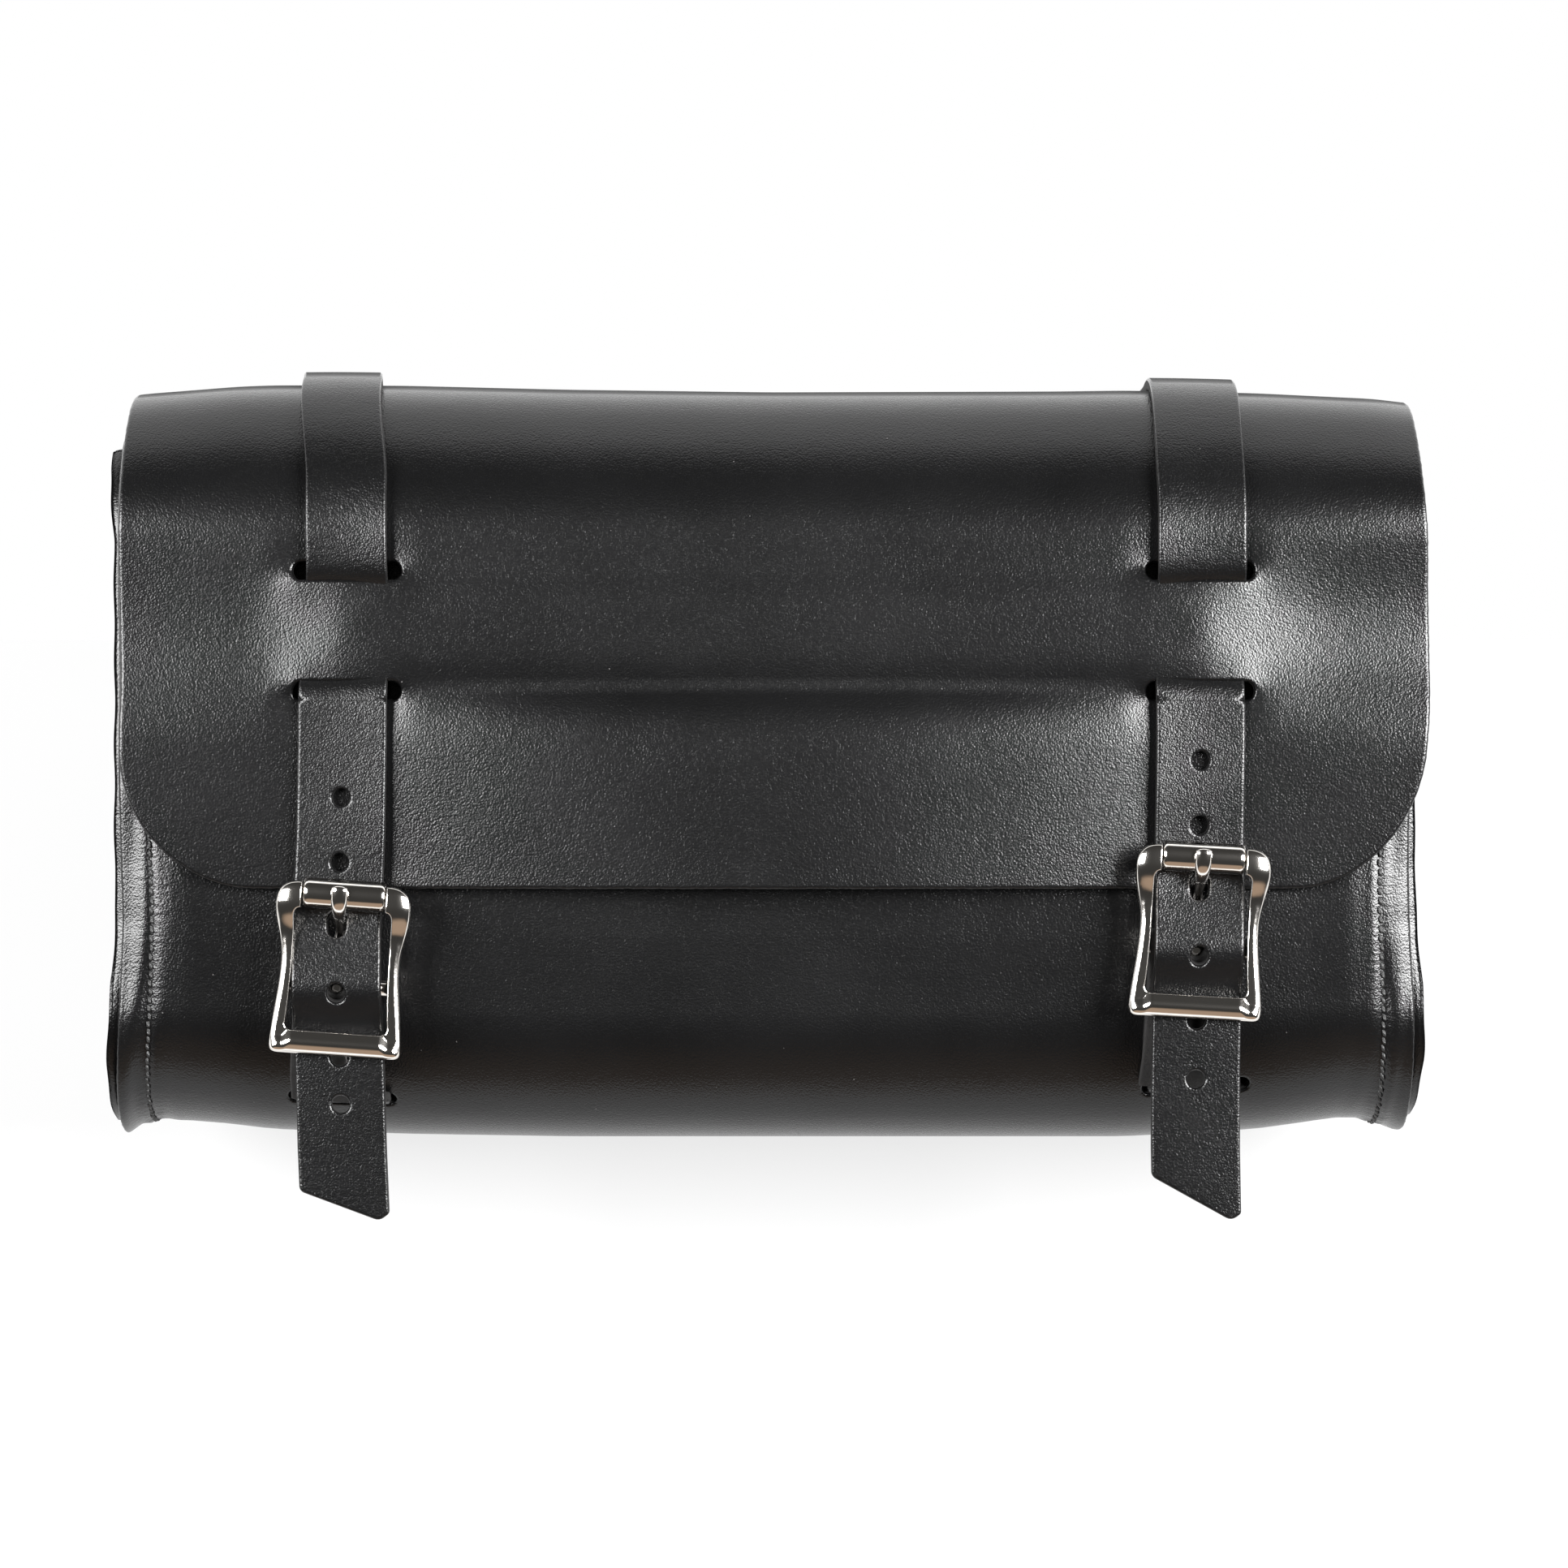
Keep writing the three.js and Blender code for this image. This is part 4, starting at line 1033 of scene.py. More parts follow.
def stitch_row(bag, x, offset, face):
    """One short thick thread for each stitch: a capsule that dips into its holes at both ends."""
    start, stop = bag.front_top + bag.seam, bag.end - SPLIT - bag.seam
    count = int((stop - start) / bag.pitch)
    middles = start + bag.pitch * (np.arange(count) + 0.5)
    along = np.linspace(-1, 1, 7)
    angle = np.linspace(0, 2 * np.pi, 8, endpoint=False)
    girth = np.sqrt(1 - (along * 0.96) ** 2) ** 0.6
    runs = middles[:, None] + along * bag.pitch * 0.47
    sway = 0.12 * np.sin(np.arange(count) * 2.4)[:, None] + 0.16 * along[None]
    drop = 0.30 - 0.55 * along ** 4
    u = (x + sway)[..., None] + 0.40 * girth[None, :, None] * np.cos(angle)
    rise = (drop * np.ones_like(runs))[..., None] + 0.36 * girth[None, :, None] * np.sin(angle)
    v = np.broadcast_to(runs[..., None], u.shape)
    w = offset + face * rise + bag.seam_form(u, v)
    points = at_x(u, bag.off(v, w))
    return joined([loft(stitch) for stitch in points])


class SADDLEBAG_OT_stitches(bpy.types.Operator):
    """Both seams, stitch by stitch, outside on the wrap and inside on the gusset's flange"""

    bl_idname = "saddlebag.stitches"
    bl_label = "Make the stitches"

    def execute(self, context):
        bag = Section(sizes_of(context))
        inner = -bag.leather - SEWN - GUSSET_THICKNESS
        for name, side in SIDES.items():
            x = side["sign"] * (bag.width / 2 - bag.seam)
            points, faces = joined([stitch_row(bag, x, 0, 1), stitch_row(bag, x, inner, -1)])
            piece = new_piece(
                f"{name}_seam_stitches", bag.bow(points), faces, [material_named("waxed_thread")]
            )
            carried(piece, "bag", "thread", f"{name}_seam_thread")
        return {"FINISHED"}


class SADDLEBAG_OT_straps(bpy.types.Operator):
    """Both straps, each in three lengths that meet at the flap's hinge and under the bridge"""

    bl_idname = "saddlebag.straps"
    bl_label = "Make the straps"

    def execute(self, context):
        sizes = sizes_of(context)
        bag = Section(sizes)
        for name, side in SIDES.items():
            self.strap(bag, sizes, name, side)
        return {"FINISHED"}

    def strap(self, bag, sizes, name, side):
        """One strap: at u across and v along it stands at its line's point, moved sideways by
        drift and lean and off its face by twist * u + cup * u^2."""
        path = strap_path(bag, side)
        centre = side["sign"] * bag.strap_x
        half = sizes.strap_width / MM / 2
        hinge = path.nearest(bag.off(np.array(bag.end - HINGE_STRIP), np.array(bag.above)))
        leaving = bag.off(
            np.array(bag.lower_slot + CROSSING + CROSSING_LEAD),
            np.array(bag.bridge + bag.leather + bag.above),
        )
        exit_run = path.nearest(leaving)

        def place(u, v, w):
            at, normal = path.on(v)
            yz = at + normal * np.asarray(w)[..., None]
            hand = smooth_step(v, exit_run - 70, exit_run - 25)
            narrow = strap_narrowing(side, yz[..., 1])
            drift = hand * strap_drift(side, yz[..., 1]) + strap_lean(side, yz[..., 0], yz[..., 1])
            front = smooth_step(v, exit_run - 95, exit_run - 60)
            cup = CUP * front * smooth_step(yz[..., 1], -50, -25) - DOME
            roll = hand * strap_twist(side, yz[..., 1]) * u + cup * u * u
            x = centre + u * (1 - NARROW_SHARE * narrow) + NARROW_SHIFT * narrow + drift
            points = at_x(x, yz + normal * np.asarray(roll)[..., None])
            return np.where((v > exit_run)[..., None], points, bag.bow(points))

        across = np.linspace(-half, half, 13)
        for part, low, high in (("lower", 0.0, hinge), ("upper", hinge, exit_run)):
            outline = rounded_outline(rectangle(-half, half, low, high), [0] * 4, 1.6)
            lines = (across, np.arange(low, high, 1.6))
            piece = sheet(
                f"{name}_strap_{part}", [outline], bag.strap, 0.6, lines, place, leather_set("strap"),
                lambda u, v, a=low, b=high: (v < a + 1e-3) | (v > b - 1e-3),
            )
            if part == "lower":
                carried(piece, "bag", "strap_leather", f"{name}_strap_back")
            else:
                hinged(piece, bag, f"{name}_strap_front")
        self.free_end(bag, name, side, path, half, exit_run, place)

    def free_end(self, bag, name, side, path, half, exit_run, place):
        """The length past the lower slot: six holes, the third one worn long by the tongue, and a
        tip cut at a slant with soft corners."""
        low = bag.bottom - TAIL_DROP
        tip = path.last_at_height(low)
        slant = path.last_at_height(low + side["slant"])
        corners = [
            (-half, exit_run), (half, exit_run), (half, tip - 1.6), (half - 2.2, tip), (-half, slant)
        ]
        loops = [rounded_outline(corners, [0, 0, 1.0, 2.2, 1.6], 0.8)]
        first = bag.bottom + side["bar"] + TONGUE_HOLE_RISE
        for i in range(-2, 4):
            v = path.last_at_height(first - i * HOLE_PITCH + side["last_hole_up"] * (i == 3))
            if i == 0:
                corners = rectangle(-HOLE_RADIUS, HOLE_RADIUS, v - WORN_ABOVE, v + WORN_BELOW)
                loops.append(rounded_outline(corners, [HOLE_RADIUS - 0.01] * 4, 0.5))
            else:
                loops.append(circle((0, v), HOLE_RADIUS))
        lines = (np.linspace(-half, half, 15), np.arange(exit_run, tip, 1.4))
        piece = sheet(
            f"{name}_strap_tip", loops, bag.strap, 0.6, lines, place, leather_set("strap"),
            lambda u, v: v < exit_run + 1e-3,
        )
        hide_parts(f"{name}_strap_end")
        start, end = ((0, 0, height * MM) for height in TIP_BEND)
        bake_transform(piece)
        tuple(start)
        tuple(end)


# Buckles
def buckle_place(bag, side, points):
    """From the centre bar's own axes to the bag: turned about the tongue's hole."""
    lifted = points - np.array([0, 0, TONGUE_HOLE_RISE])
    cos, sin = math.cos(side["turn"]), math.sin(side["turn"])
    x = lifted[:, 0] * cos + lifted[:, 2] * sin
    z = -lifted[:, 0] * sin + lifted[:, 2] * cos
    up = bag.bottom + side["bar"] + TONGUE_HOLE_RISE
    origin = np.array([side["sign"] * bag.strap_x, bag.foremost - BAR_OUT, up])
    return np.stack([x, lifted[:, 1], z], 1) + origin


def bezier(a, b, c, d, count=14):
    """A cubic curve from a to d that leaves towards b and arrives from c."""
    t = np.linspace(0, 1, count)[:, None]
    a, b, c, d = (np.array(point) for point in (a, b, c, d))
    return (1 - t) ** 3 * a + 3 * (1 - t) ** 2 * t * b + 3 * (1 - t) * t * t * c + t ** 3 * d


def frame_lines():
    """Right half of the frame: its outer line with an ear, a waist and a foot, and its window."""
    foot = bezier((12.4, -15.3), (13.9, -15.3), (14.7, -14.7), (14.6, -13.0))
    rail = bezier((14.6, -13.0), (14.1, -6.0), (13.0, -1), (13.0, 5))
    rise = bezier((13.0, 5), (13.0, 10), (14.75, 12.5), (14.8, 16.8))
    ear = bezier((14.8, 16.8), (14.85, 21.0), (13.2, 22.8), (9.3, 22.7))
    top = bezier((9.3, 16.9), (10.2, 16.9), (10.75, 16.2), (10.75, 14.9))
    side = bezier((10.75, 14.9), (10.6, 8), (10.5, -2), (11.3, -8.6))
    corner = bezier((11.3, -8.6), (11.3, -9.6), (10.7, -10.1), (9.7, -10.1))
    outer = np.concatenate([[(0, -15.3)], foot, rail[1:], rise[1:], ear[1:]])
    return outer, np.concatenate([top, side[1:], corner[1:], [(0, -10.1)]])


def frame_dome(x, z):
    """Height of the frame's domed front by the distance s from its outer line: a quarter of an
    ellipse, h * sqrt(1 - (1 - s / w)^2), then level, with h and w set by the height on the
    frame. The foot and the ears are broad and round and the rails are slim."""
    outer, _ = frame_lines()
    line = np.concatenate([outer[::-1] * np.array([-1, 1]), outer[1:]])
    away = distance_to(np.stack([x, z], 1), line[:-1], line[1:], 5.0)
    level = z + 2.2 * smooth_step(np.abs(x), 9.5, 12) * (z < 0)
    tall = np.interp(level, (-12.8, -9.3, 9, 15), (2.6, 1.0, 1.0, 1.4))
    width = np.interp(level, (-12.8, -9.3, 9, 15), (4.4, 1.4, 1.4, 4.0))
    return tall * np.sqrt(1 - (1 - np.minimum(away / width, 1)) ** 2)


def frame_bend(z):
    """The frame's side view: rails and foot in one plane, ears rising to meet the roller."""
    return 2.5 * smooth_step(z, 10, 18.5) - 0.9


def bar_shell(radius, reach, y, z):
    """A round bar along X with its two ends turned in."""
    ends = [
        (radius * 0.6, -reach), (radius, -reach + 0.5), (radius, reach - 0.5), (radius * 0.6, reach)
    ]
    points, faces = lathe(ends, 32)
    return points + np.array([0, y, z]), faces


def frame_shell():
    """The cast frame with its domed front, centre bar, roller bar and the lugs between them."""
    outer, inner = frame_lines()
    side = np.concatenate([outer, inner])
    loop = even_outline(np.concatenate([side, side[-2:0:-1] * np.array([-1, 1])]), 0.4)

    def place(u, v, w):
        return np.stack([u, -FRAME_RISE - w - frame_bend(v) - frame_dome(u, v) * (w > 0), v], -1)

    lines = (np.arange(-15, 15.1, 0.27), np.arange(-15.4, 24, 0.27))
    points, faces, _ = sheet_shell([loop], FRAME_THICKNESS, 0.3, lines, place)
    parts = [(points, faces), bar_shell(CENTRE_BAR_RADIUS, 12.0, 0, 0)]
    parts.append(bar_shell(TOP_BAR_RADIUS, 11, -FRAME_RISE, ROLLER_RISE))
    half = (LUG_HALF_WIDTH, (FRAME_RISE + LUG_BEHIND) / 2, LUG_HALF_HEIGHT)
    for sign in (-1, 1):
        parts.append(rounded_block(half, (sign * LUG_SIDE, (LUG_BEHIND - FRAME_RISE) / 2, 0), 0.5))
    return joined(parts)


def roller_shell(sizes):
    """A rolled tube: plain along its length, turned in at both ends."""
    radius, half = sizes.roller_radius / MM, sizes.roller_length / MM / 2
    edge = np.linspace(0, np.pi / 2, 9)
    out = np.stack([radius - 0.6 + 0.6 * np.sin(edge), -half + 1.3 * (1 - np.cos(edge))], 1)
    first, last = [(ROLLER_BORE, -half + 0.2)], [(ROLLER_BORE, half - 0.2)]
    profile = np.concatenate([first, out, out[::-1] * np.array([1, -1]), last])
    angle = np.linspace(0, 2 * np.pi, 64, endpoint=False)
    seam = 1 - 0.05 * np.exp(-((angle - np.pi * 0.62) / 0.07) ** 2)
    x, out = np.repeat(profile[:, 1:], 64, 1), profile[:, :1]
    rings = np.stack([x, out * np.cos(angle) * seam, out * np.sin(angle) * seam], 2)
    tube = np.concatenate([rings, rings[:1]])
    points, faces = loft(tube, closed_ends=False)
    count = len(profile) * 64
    return points[:count], faces % count


def tongue_shell():
    """A prong with an oval section along a smooth line: wide at its root, narrow where it
    passes the strap's hole and wide again where its tip rests on the roller."""
    line = np.array([
        (0.35, 2.9), (0.45, 7), (0.1, 10.0), (-1.7, 12.6), (-4.3, 14.4), (-7.3, 15.9), (-9.6, 17.6),
        (-10.6, 20.2), (-10.65, 22.4),
    ])
    run = np.concatenate([[0], np.cumsum(np.linalg.norm(np.diff(line, axis=0), axis=1))])
    even = np.linspace(0, run[-1], 70)
    soft = np.stack([blurred(np.interp(even, run, line[:, i]), 3.4) for i in range(2)], 1)
    travel = np.gradient(soft, axis=0)
    travel /= np.linalg.norm(travel, axis=1)[:, None]
    normal = np.stack([-travel[:, 1], travel[:, 0]], 1)
    share = even / run[-1]
    wide = np.interp(
        soft[:, 1], (3, 9, 12.5, 14.5, 16, 17.3, 19, 21.6), (1.6, 1.5, 0.95, 1.2, 1.45, 1.65, 1.85, 1.8)
    )
    thick = np.interp(share, (0, 0.5, 0.8, 1), (1.1, 1.15, 1.15, 0.95))
    taper = np.sqrt(np.clip(1 - np.clip((share - 0.955) / 0.045, 0, 0.995) ** 2, 0, 1))
    angle = np.linspace(0, 2 * np.pi, 32, endpoint=False)
    x = (wide * taper)[:, None] * np.sign(np.cos(angle)) * np.abs(np.cos(angle)) ** 0.75
    w = (thick * taper)[:, None] * np.sin(angle)
    yz = soft[:, None] + normal[:, None] * w[..., None]
    prong = loft(np.concatenate([x[..., None], yz], 2))
    spin = np.linspace(0, 2 * np.pi, 49)
    ring = np.linspace(0, 2 * np.pi, 17)[:-1]
    radius = 2.55 + 0.62 * np.cos(ring)
    x = np.broadcast_to(1.6 * np.sin(ring), (49, 16))
    eye = np.stack([x, radius * np.cos(spin)[:, None], radius * np.sin(spin)[:, None]], 2)
    points, faces = loft(eye, closed_ends=False)
    return joined([prong, (points[:48 * 16], faces % (48 * 16))])


class SADDLEBAG_OT_buckles(bpy.types.Operator):
    """Frame, roller and tongue of both buckles"""

    bl_idname = "saddlebag.buckles"
    bl_label = "Make the buckles"

    def execute(self, context):
        sizes = sizes_of(context)
        bag = Section(sizes)
        plate = [material_named("nickel_plate")]
        roller = roller_shell(sizes)
        shells = {
            "frame": frame_shell(),
            "roller": (roller[0] + np.array([0, -FRAME_RISE, ROLLER_RISE]), roller[1]),
            "tongue": tongue_shell(),
        }
        for name, side in SIDES.items():
            for part, (points, faces) in shells.items():
                shift = np.array([side["tongue_shift" if part == "tongue" else "frame_shift"], 0, 0])
                piece = new_piece(
                    f"{name}_buckle_{part}_cast", buckle_place(bag, side, points + shift), faces, plate
                )
                body = f"{name}_buckle" if part == "frame" else f"{name}_{part}"
                carried(piece, body, "nickel_plate", f"{name}_buckle_{part}")
        return {"FINISHED"}


def chape_path(bag, side):
    """The folded strap end: up from the slot, round the centre bar and back down behind."""
    skew = 2 * CHAPE_HALF * math.sin(side["turn"])
    start = bag.front(side["slot"]) - CROSSING - CROSSING_LEAD - FIT - skew
    bar = bag.front(side["bar"])
    under = CHAPE_THICKNESS / 2
    low, high = CHAPE_LIFT + under, CHAPE_LIFT + CHAPE_THICKNESS + SEWN + under
    runs = np.linspace(start - 5, bar + 7, 24)
    up = bag.off(
        np.concatenate([[start + 2.2, start], runs]),
        np.concatenate([[FIT + under + 0.2, FIT + under + 0.3], np.full(24, high)]),
    )
    centre = np.array([bag.foremost - BAR_OUT, bag.bottom + side["bar"]])
    radius = CENTRE_BAR_RADIUS + FIT + under
    angle = np.linspace(math.radians(-20), math.pi, 26)
    fold = centre + radius * np.stack([-np.cos(angle), np.sin(angle)], 1)
    down = bag.off(np.linspace(bar + 7, start - 5.7, 20), np.full(20, low))
    return Path(np.concatenate([up, fold, down]), 0.8), start


class SADDLEBAG_OT_chapes(bpy.types.Operator):
    """The folded strap ends that hold the buckles, and their rivets"""

    bl_idname = "saddlebag.chapes"
    bl_label = "Make the folded ends"

    def execute(self, context):
        bag = Section(sizes_of(context))
        for name, side in SIDES.items():
            self.fold(bag, name, side)
            self.rivet(bag, name, side)
        return {"FINISHED"}

    def fold(self, bag, name, side):
        """The folded leather with its long hole for the tongue, bent along its line."""
        path, start = chape_path(bag, side)
        half = CHAPE_HALF
        top = bag.bottom + side["bar"] + CENTRE_BAR_RADIUS + FIT + 1
        crown = path.nearest((bag.foremost - BAR_OUT, top))
        eye = rounded_outline(rectangle(-2.2, 2.2, crown - 6, crown + 5), [2.15] * 4, 0.6)
        outline = rounded_outline(rectangle(-half, half, 0, path.length), [0, 0, 3, 3], 1.0)
        origin = np.array([0, bag.foremost - BAR_OUT, bag.bottom + side["bar"]])

        def place(u, v, w):
            at, normal = path.on(v)
            return at_x(u, at + normal * np.asarray(w)[..., None]) - origin

        lines = (np.linspace(-half, half, 14), np.arange(0, path.length, 1.3))
        points, faces, index = sheet_shell([outline, eye], CHAPE_THICKNESS, 0.55, lines, place)
        piece = new_piece(
            f"{name}_folded_end", buckle_place(bag, side, points), faces, leather_set("strap"), index
        )
        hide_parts(f"{name}_chape")
        foot = bag.off(np.array(start), np.array(FIT + 1)) * MM
        start, end = ((0, foot[0], foot[1] + rise * MM) for rise in CHAPE_BEND)
        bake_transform(piece)
        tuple(start)
        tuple(end)

    def rivet(self, bag, name, side):
        """A turned rivet: a flat washer behind, a shank through the layers and a low dome, whose
        height is h * sin(a) at a radius of r * cos(a)."""
        _, start = chape_path(bag, side)
        at, normal = bag.on(np.array(start - RIVET_BEFORE_SLOT))
        grip = CHAPE_LIFT + 2 * CHAPE_THICKNESS + SEWN + FIT
        dome = np.linspace(0, np.pi / 2, 10)
        head = np.stack([RIVET_RADIUS * np.cos(dome), grip + 0.25 + RIVET_DOME * np.sin(dome)], 1)
        washer = [
            (0.05, FIT), (RIVET_RADIUS - 0.2, FIT), (RIVET_RADIUS, FIT + 0.25),
            (RIVET_RADIUS - 0.2, FIT + 0.5),
        ]
        shank = [(RIVET_SHANK, FIT + 0.5), (RIVET_SHANK, grip), (RIVET_RADIUS - 0.1, grip)]
        profile = np.concatenate([washer, shank, head])
        points, faces = lathe(profile, 40)
        along = np.array([0, normal[0], normal[1]])
        across = np.array([0, -normal[1], normal[0]])
        placed = points[:, :1] * along + points[:, 1:2] * np.array([1, 0, 0]) + points[:, 2:] * across
        placed += np.array([0, at[0] - (bag.foremost - BAR_OUT), at[1] - (bag.bottom + side["bar"])])
        piece = new_piece(
            f"{name}_rivet", buckle_place(bag, side, placed), faces, [material_named("rivet_steel")]
        )
        carried(piece, f"{name}_chape", "rivet_steel", f"{name}_chape_rivet")


# Materials
def add_node(tree, kind, inputs=None, **settings):
    """A node with its settings, and a value or a link for each named or numbered input."""
    made = tree.nodes.new(kind)
    for key, value in settings.items():
        setattr(made, key, value)
    for key, value in (inputs or {}).items():
        if isinstance(value, bpy.types.NodeSocket):
            tree.links.new(value, made.inputs[key])
        else:
            made.inputs[key].default_value = value
    return made


def maths(tree, operation, a, b=0.0, c=0.0):
    return add_node(tree, "ShaderNodeMath", {0: a, 1: b, 2: c}, operation=operation).outputs[0]


def group_with(name, inputs, outputs, build):
    """A shader node group, built once, with named number, colour or vector sockets."""
    found = bpy.data.node_groups.get(name)
    if found:
        return found
    group = bpy.data.node_groups.new(name, "ShaderNodeTree")
    for direction, sockets in (("INPUT", inputs), ("OUTPUT", outputs)):
        for label, kind, value in sockets:
            socket = group.interface.new_socket(label, in_out=direction, socket_type=kind)
            if value is not None and direction == "INPUT":
                socket.default_value = value
    into = group.nodes.new("NodeGroupInput")
    out = group.nodes.new("NodeGroupOutput")
    for label, value in build(group, into.outputs).items():
        group.links.new(value, out.inputs[label])
    return group


NUMBER, COLOUR, DIRECTION = "NodeSocketFloat", "NodeSocketColor", "NodeSocketVector"


def leather_grain_group():
    """Pebbled grain: rounded cells pressed by hair follicles, over slow swells of the hide."""

    def build(tree, given):
        warp = add_node(
            tree, "ShaderNodeTexNoise", {"Vector": given["Place"], "Scale": 700.0, "Detail": 2.0}
        )
        offset = add_node(
            tree, "ShaderNodeVectorMath", {0: warp.outputs["Color"], 1: (-0.5, -0.5, -0.5)},
            operation="ADD",
        )
        shifted = add_node(
            tree, "ShaderNodeVectorMath",
            {0: offset.outputs[0], 1: (0.0005, 0.0005, 0.0005), 2: given["Place"]},
            operation="MULTIPLY_ADD",
        )
        cells = add_node(
            tree, "ShaderNodeTexVoronoi",
            {"Vector": shifted.outputs[0], "Scale": given["Scale"], "Smoothness": 0.6},
            feature="SMOOTH_F1",
        )
        fine = add_node(
            tree, "ShaderNodeTexNoise",
            {"Vector": shifted.outputs[0], "Scale": given["Scale"], "Detail": 3.0, "Roughness": 0.55},
        )
        slow = add_node(
            tree, "ShaderNodeTexNoise", {"Vector": given["Place"], "Scale": 55.0, "Detail": 2.0}
        )
        pebble = maths(tree, "SUBTRACT", 1.0, cells.outputs["Distance"])
        mixed = maths(tree, "MULTIPLY_ADD", fine.outputs["Fac"], 0.9, pebble)
        height = maths(tree, "MULTIPLY_ADD", slow.outputs["Fac"], given["Swell"], mixed)
        return {"Height": height, "Pores": cells.outputs["Distance"], "Swell": slow.outputs["Fac"]}

    inputs = [("Place", DIRECTION, None), ("Scale", NUMBER, 1500.0), ("Swell", NUMBER, 2.0)]
    return group_with(
        "leather_grain", inputs,
        [("Height", NUMBER, None), ("Pores", NUMBER, None), ("Swell", NUMBER, None)], build,
    )


def handling_group():
    """Dust specks and rubbed patches: a few tiny pale dots and slow changes of tone and gloss."""

    def build(tree, given):
        dots = add_node(
            tree, "ShaderNodeTexVoronoi", {"Vector": given["Place"], "Scale": 260.0, "Randomness": 1.0}
        )
        dot = add_node(
            tree, "ShaderNodeMapRange",
            {
                "Value": dots.outputs["Distance"], "From Min": 0.02, "From Max": 0.05, "To Min": 1.0,
                "To Max": 0.0,
            },
        )
        chosen = add_node(tree, "ShaderNodeSeparateColor", {"Color": dots.outputs["Color"]})
        rare = maths(tree, "GREATER_THAN", chosen.outputs[0], 0.86)
        speck = maths(tree, "MULTIPLY", dot.outputs[0], rare)
        patches = add_node(
            tree, "ShaderNodeTexNoise",
            {"Vector": given["Place"], "Scale": 28.0, "Detail": 4.0, "Roughness": 0.6},
        )
        tone = add_node(
            tree, "ShaderNodeMapRange",
            {
                "Value": patches.outputs["Fac"], "From Min": 0.3, "From Max": 0.7, "To Min": 0.8,
                "To Max": 1.25,
            },
        )
        toned = add_node(
            tree, "ShaderNodeVectorMath", {0: given["Dye"], "Scale": tone.outputs[0]}, operation="SCALE"
        )
        amount = maths(tree, "MULTIPLY", speck, given["Dust"])
        colour = add_node(
            tree, "ShaderNodeMix", {"Factor": amount, 6: toned.outputs[0], 7: (0.16, 0.155, 0.15, 1)},
            data_type="RGBA",
        )
        gloss = maths(tree, "MULTIPLY_ADD", patches.outputs["Fac"], given["Rubbed"], given["Roughness"])
        rough = maths(tree, "MULTIPLY_ADD", amount, 0.4, gloss)
        return {"Colour": colour.outputs[2], "Roughness": rough}

    inputs = [
        ("Place", DIRECTION, None), ("Dye", COLOUR, (0.01, 0.01, 0.01, 1)), ("Dust", NUMBER, 0.35),
        ("Roughness", NUMBER, 0.34), ("Rubbed", NUMBER, 0.12),
    ]
    return group_with(
        "handling_marks", inputs, [("Colour", COLOUR, None), ("Roughness", NUMBER, None)], build
    )


def fibre_group():
    """Loose fibres of a cut edge or flesh side: stretched noise over clumps."""

    def build(tree, given):
        strands = add_node(
            tree, "ShaderNodeTexNoise",
            {
                "Vector": given["Place"], "Scale": given["Scale"], "Detail": 5.0, "Roughness": 0.7,
                "Distortion": 1.4,
            },
        )
        clumps = add_node(
            tree, "ShaderNodeTexNoise", {"Vector": given["Place"], "Scale": 240.0, "Detail": 3.0}
        )
        height = maths(tree, "MULTIPLY_ADD", clumps.outputs["Fac"], 1.6, strands.outputs["Fac"])
        tone = add_node(
            tree, "ShaderNodeMapRange",
            {
                "Value": strands.outputs["Fac"], "From Min": 0.35, "From Max": 0.68, "To Min": 0.45,
                "To Max": 1.7,
            },
        )
        colour = add_node(
            tree, "ShaderNodeVectorMath", {0: given["Dye"], "Scale": tone.outputs[0]}, operation="SCALE"
        )
        return {"Height": height, "Colour": colour.outputs[0]}

    inputs = [
        ("Place", DIRECTION, None), ("Dye", COLOUR, (0.02, 0.02, 0.02, 1)), ("Scale", NUMBER, 1400.0)
    ]
    return group_with(
        "loose_fibres", inputs, [("Height", NUMBER, None), ("Colour", COLOUR, None)], build
    )


def new_material(name):
    """A material with a plain shader, and the output that gives places on the piece itself."""
    material = bpy.data.materials.new(name)
    material.use_nodes = True
    tree = material.node_tree
    tree.nodes.clear()
    shader = tree.nodes.new("ShaderNodeBsdfPrincipled")
    out = tree.nodes.new("ShaderNodeOutputMaterial")
    tree.links.new(shader.outputs[0], out.inputs["Surface"])
    place = tree.nodes.new("ShaderNodeTexCoord").outputs["Object"]
    return material, tree, shader, place


def bump(tree, height, strength, distance, normal=None):
    """The normal of a height, on top of another normal where one is given."""
    inputs = {"Height": height, "Strength": strength, "Distance": distance}
    if normal is not None:
        inputs["Normal"] = normal
    return add_node(tree, "ShaderNodeBump", inputs).outputs[0]


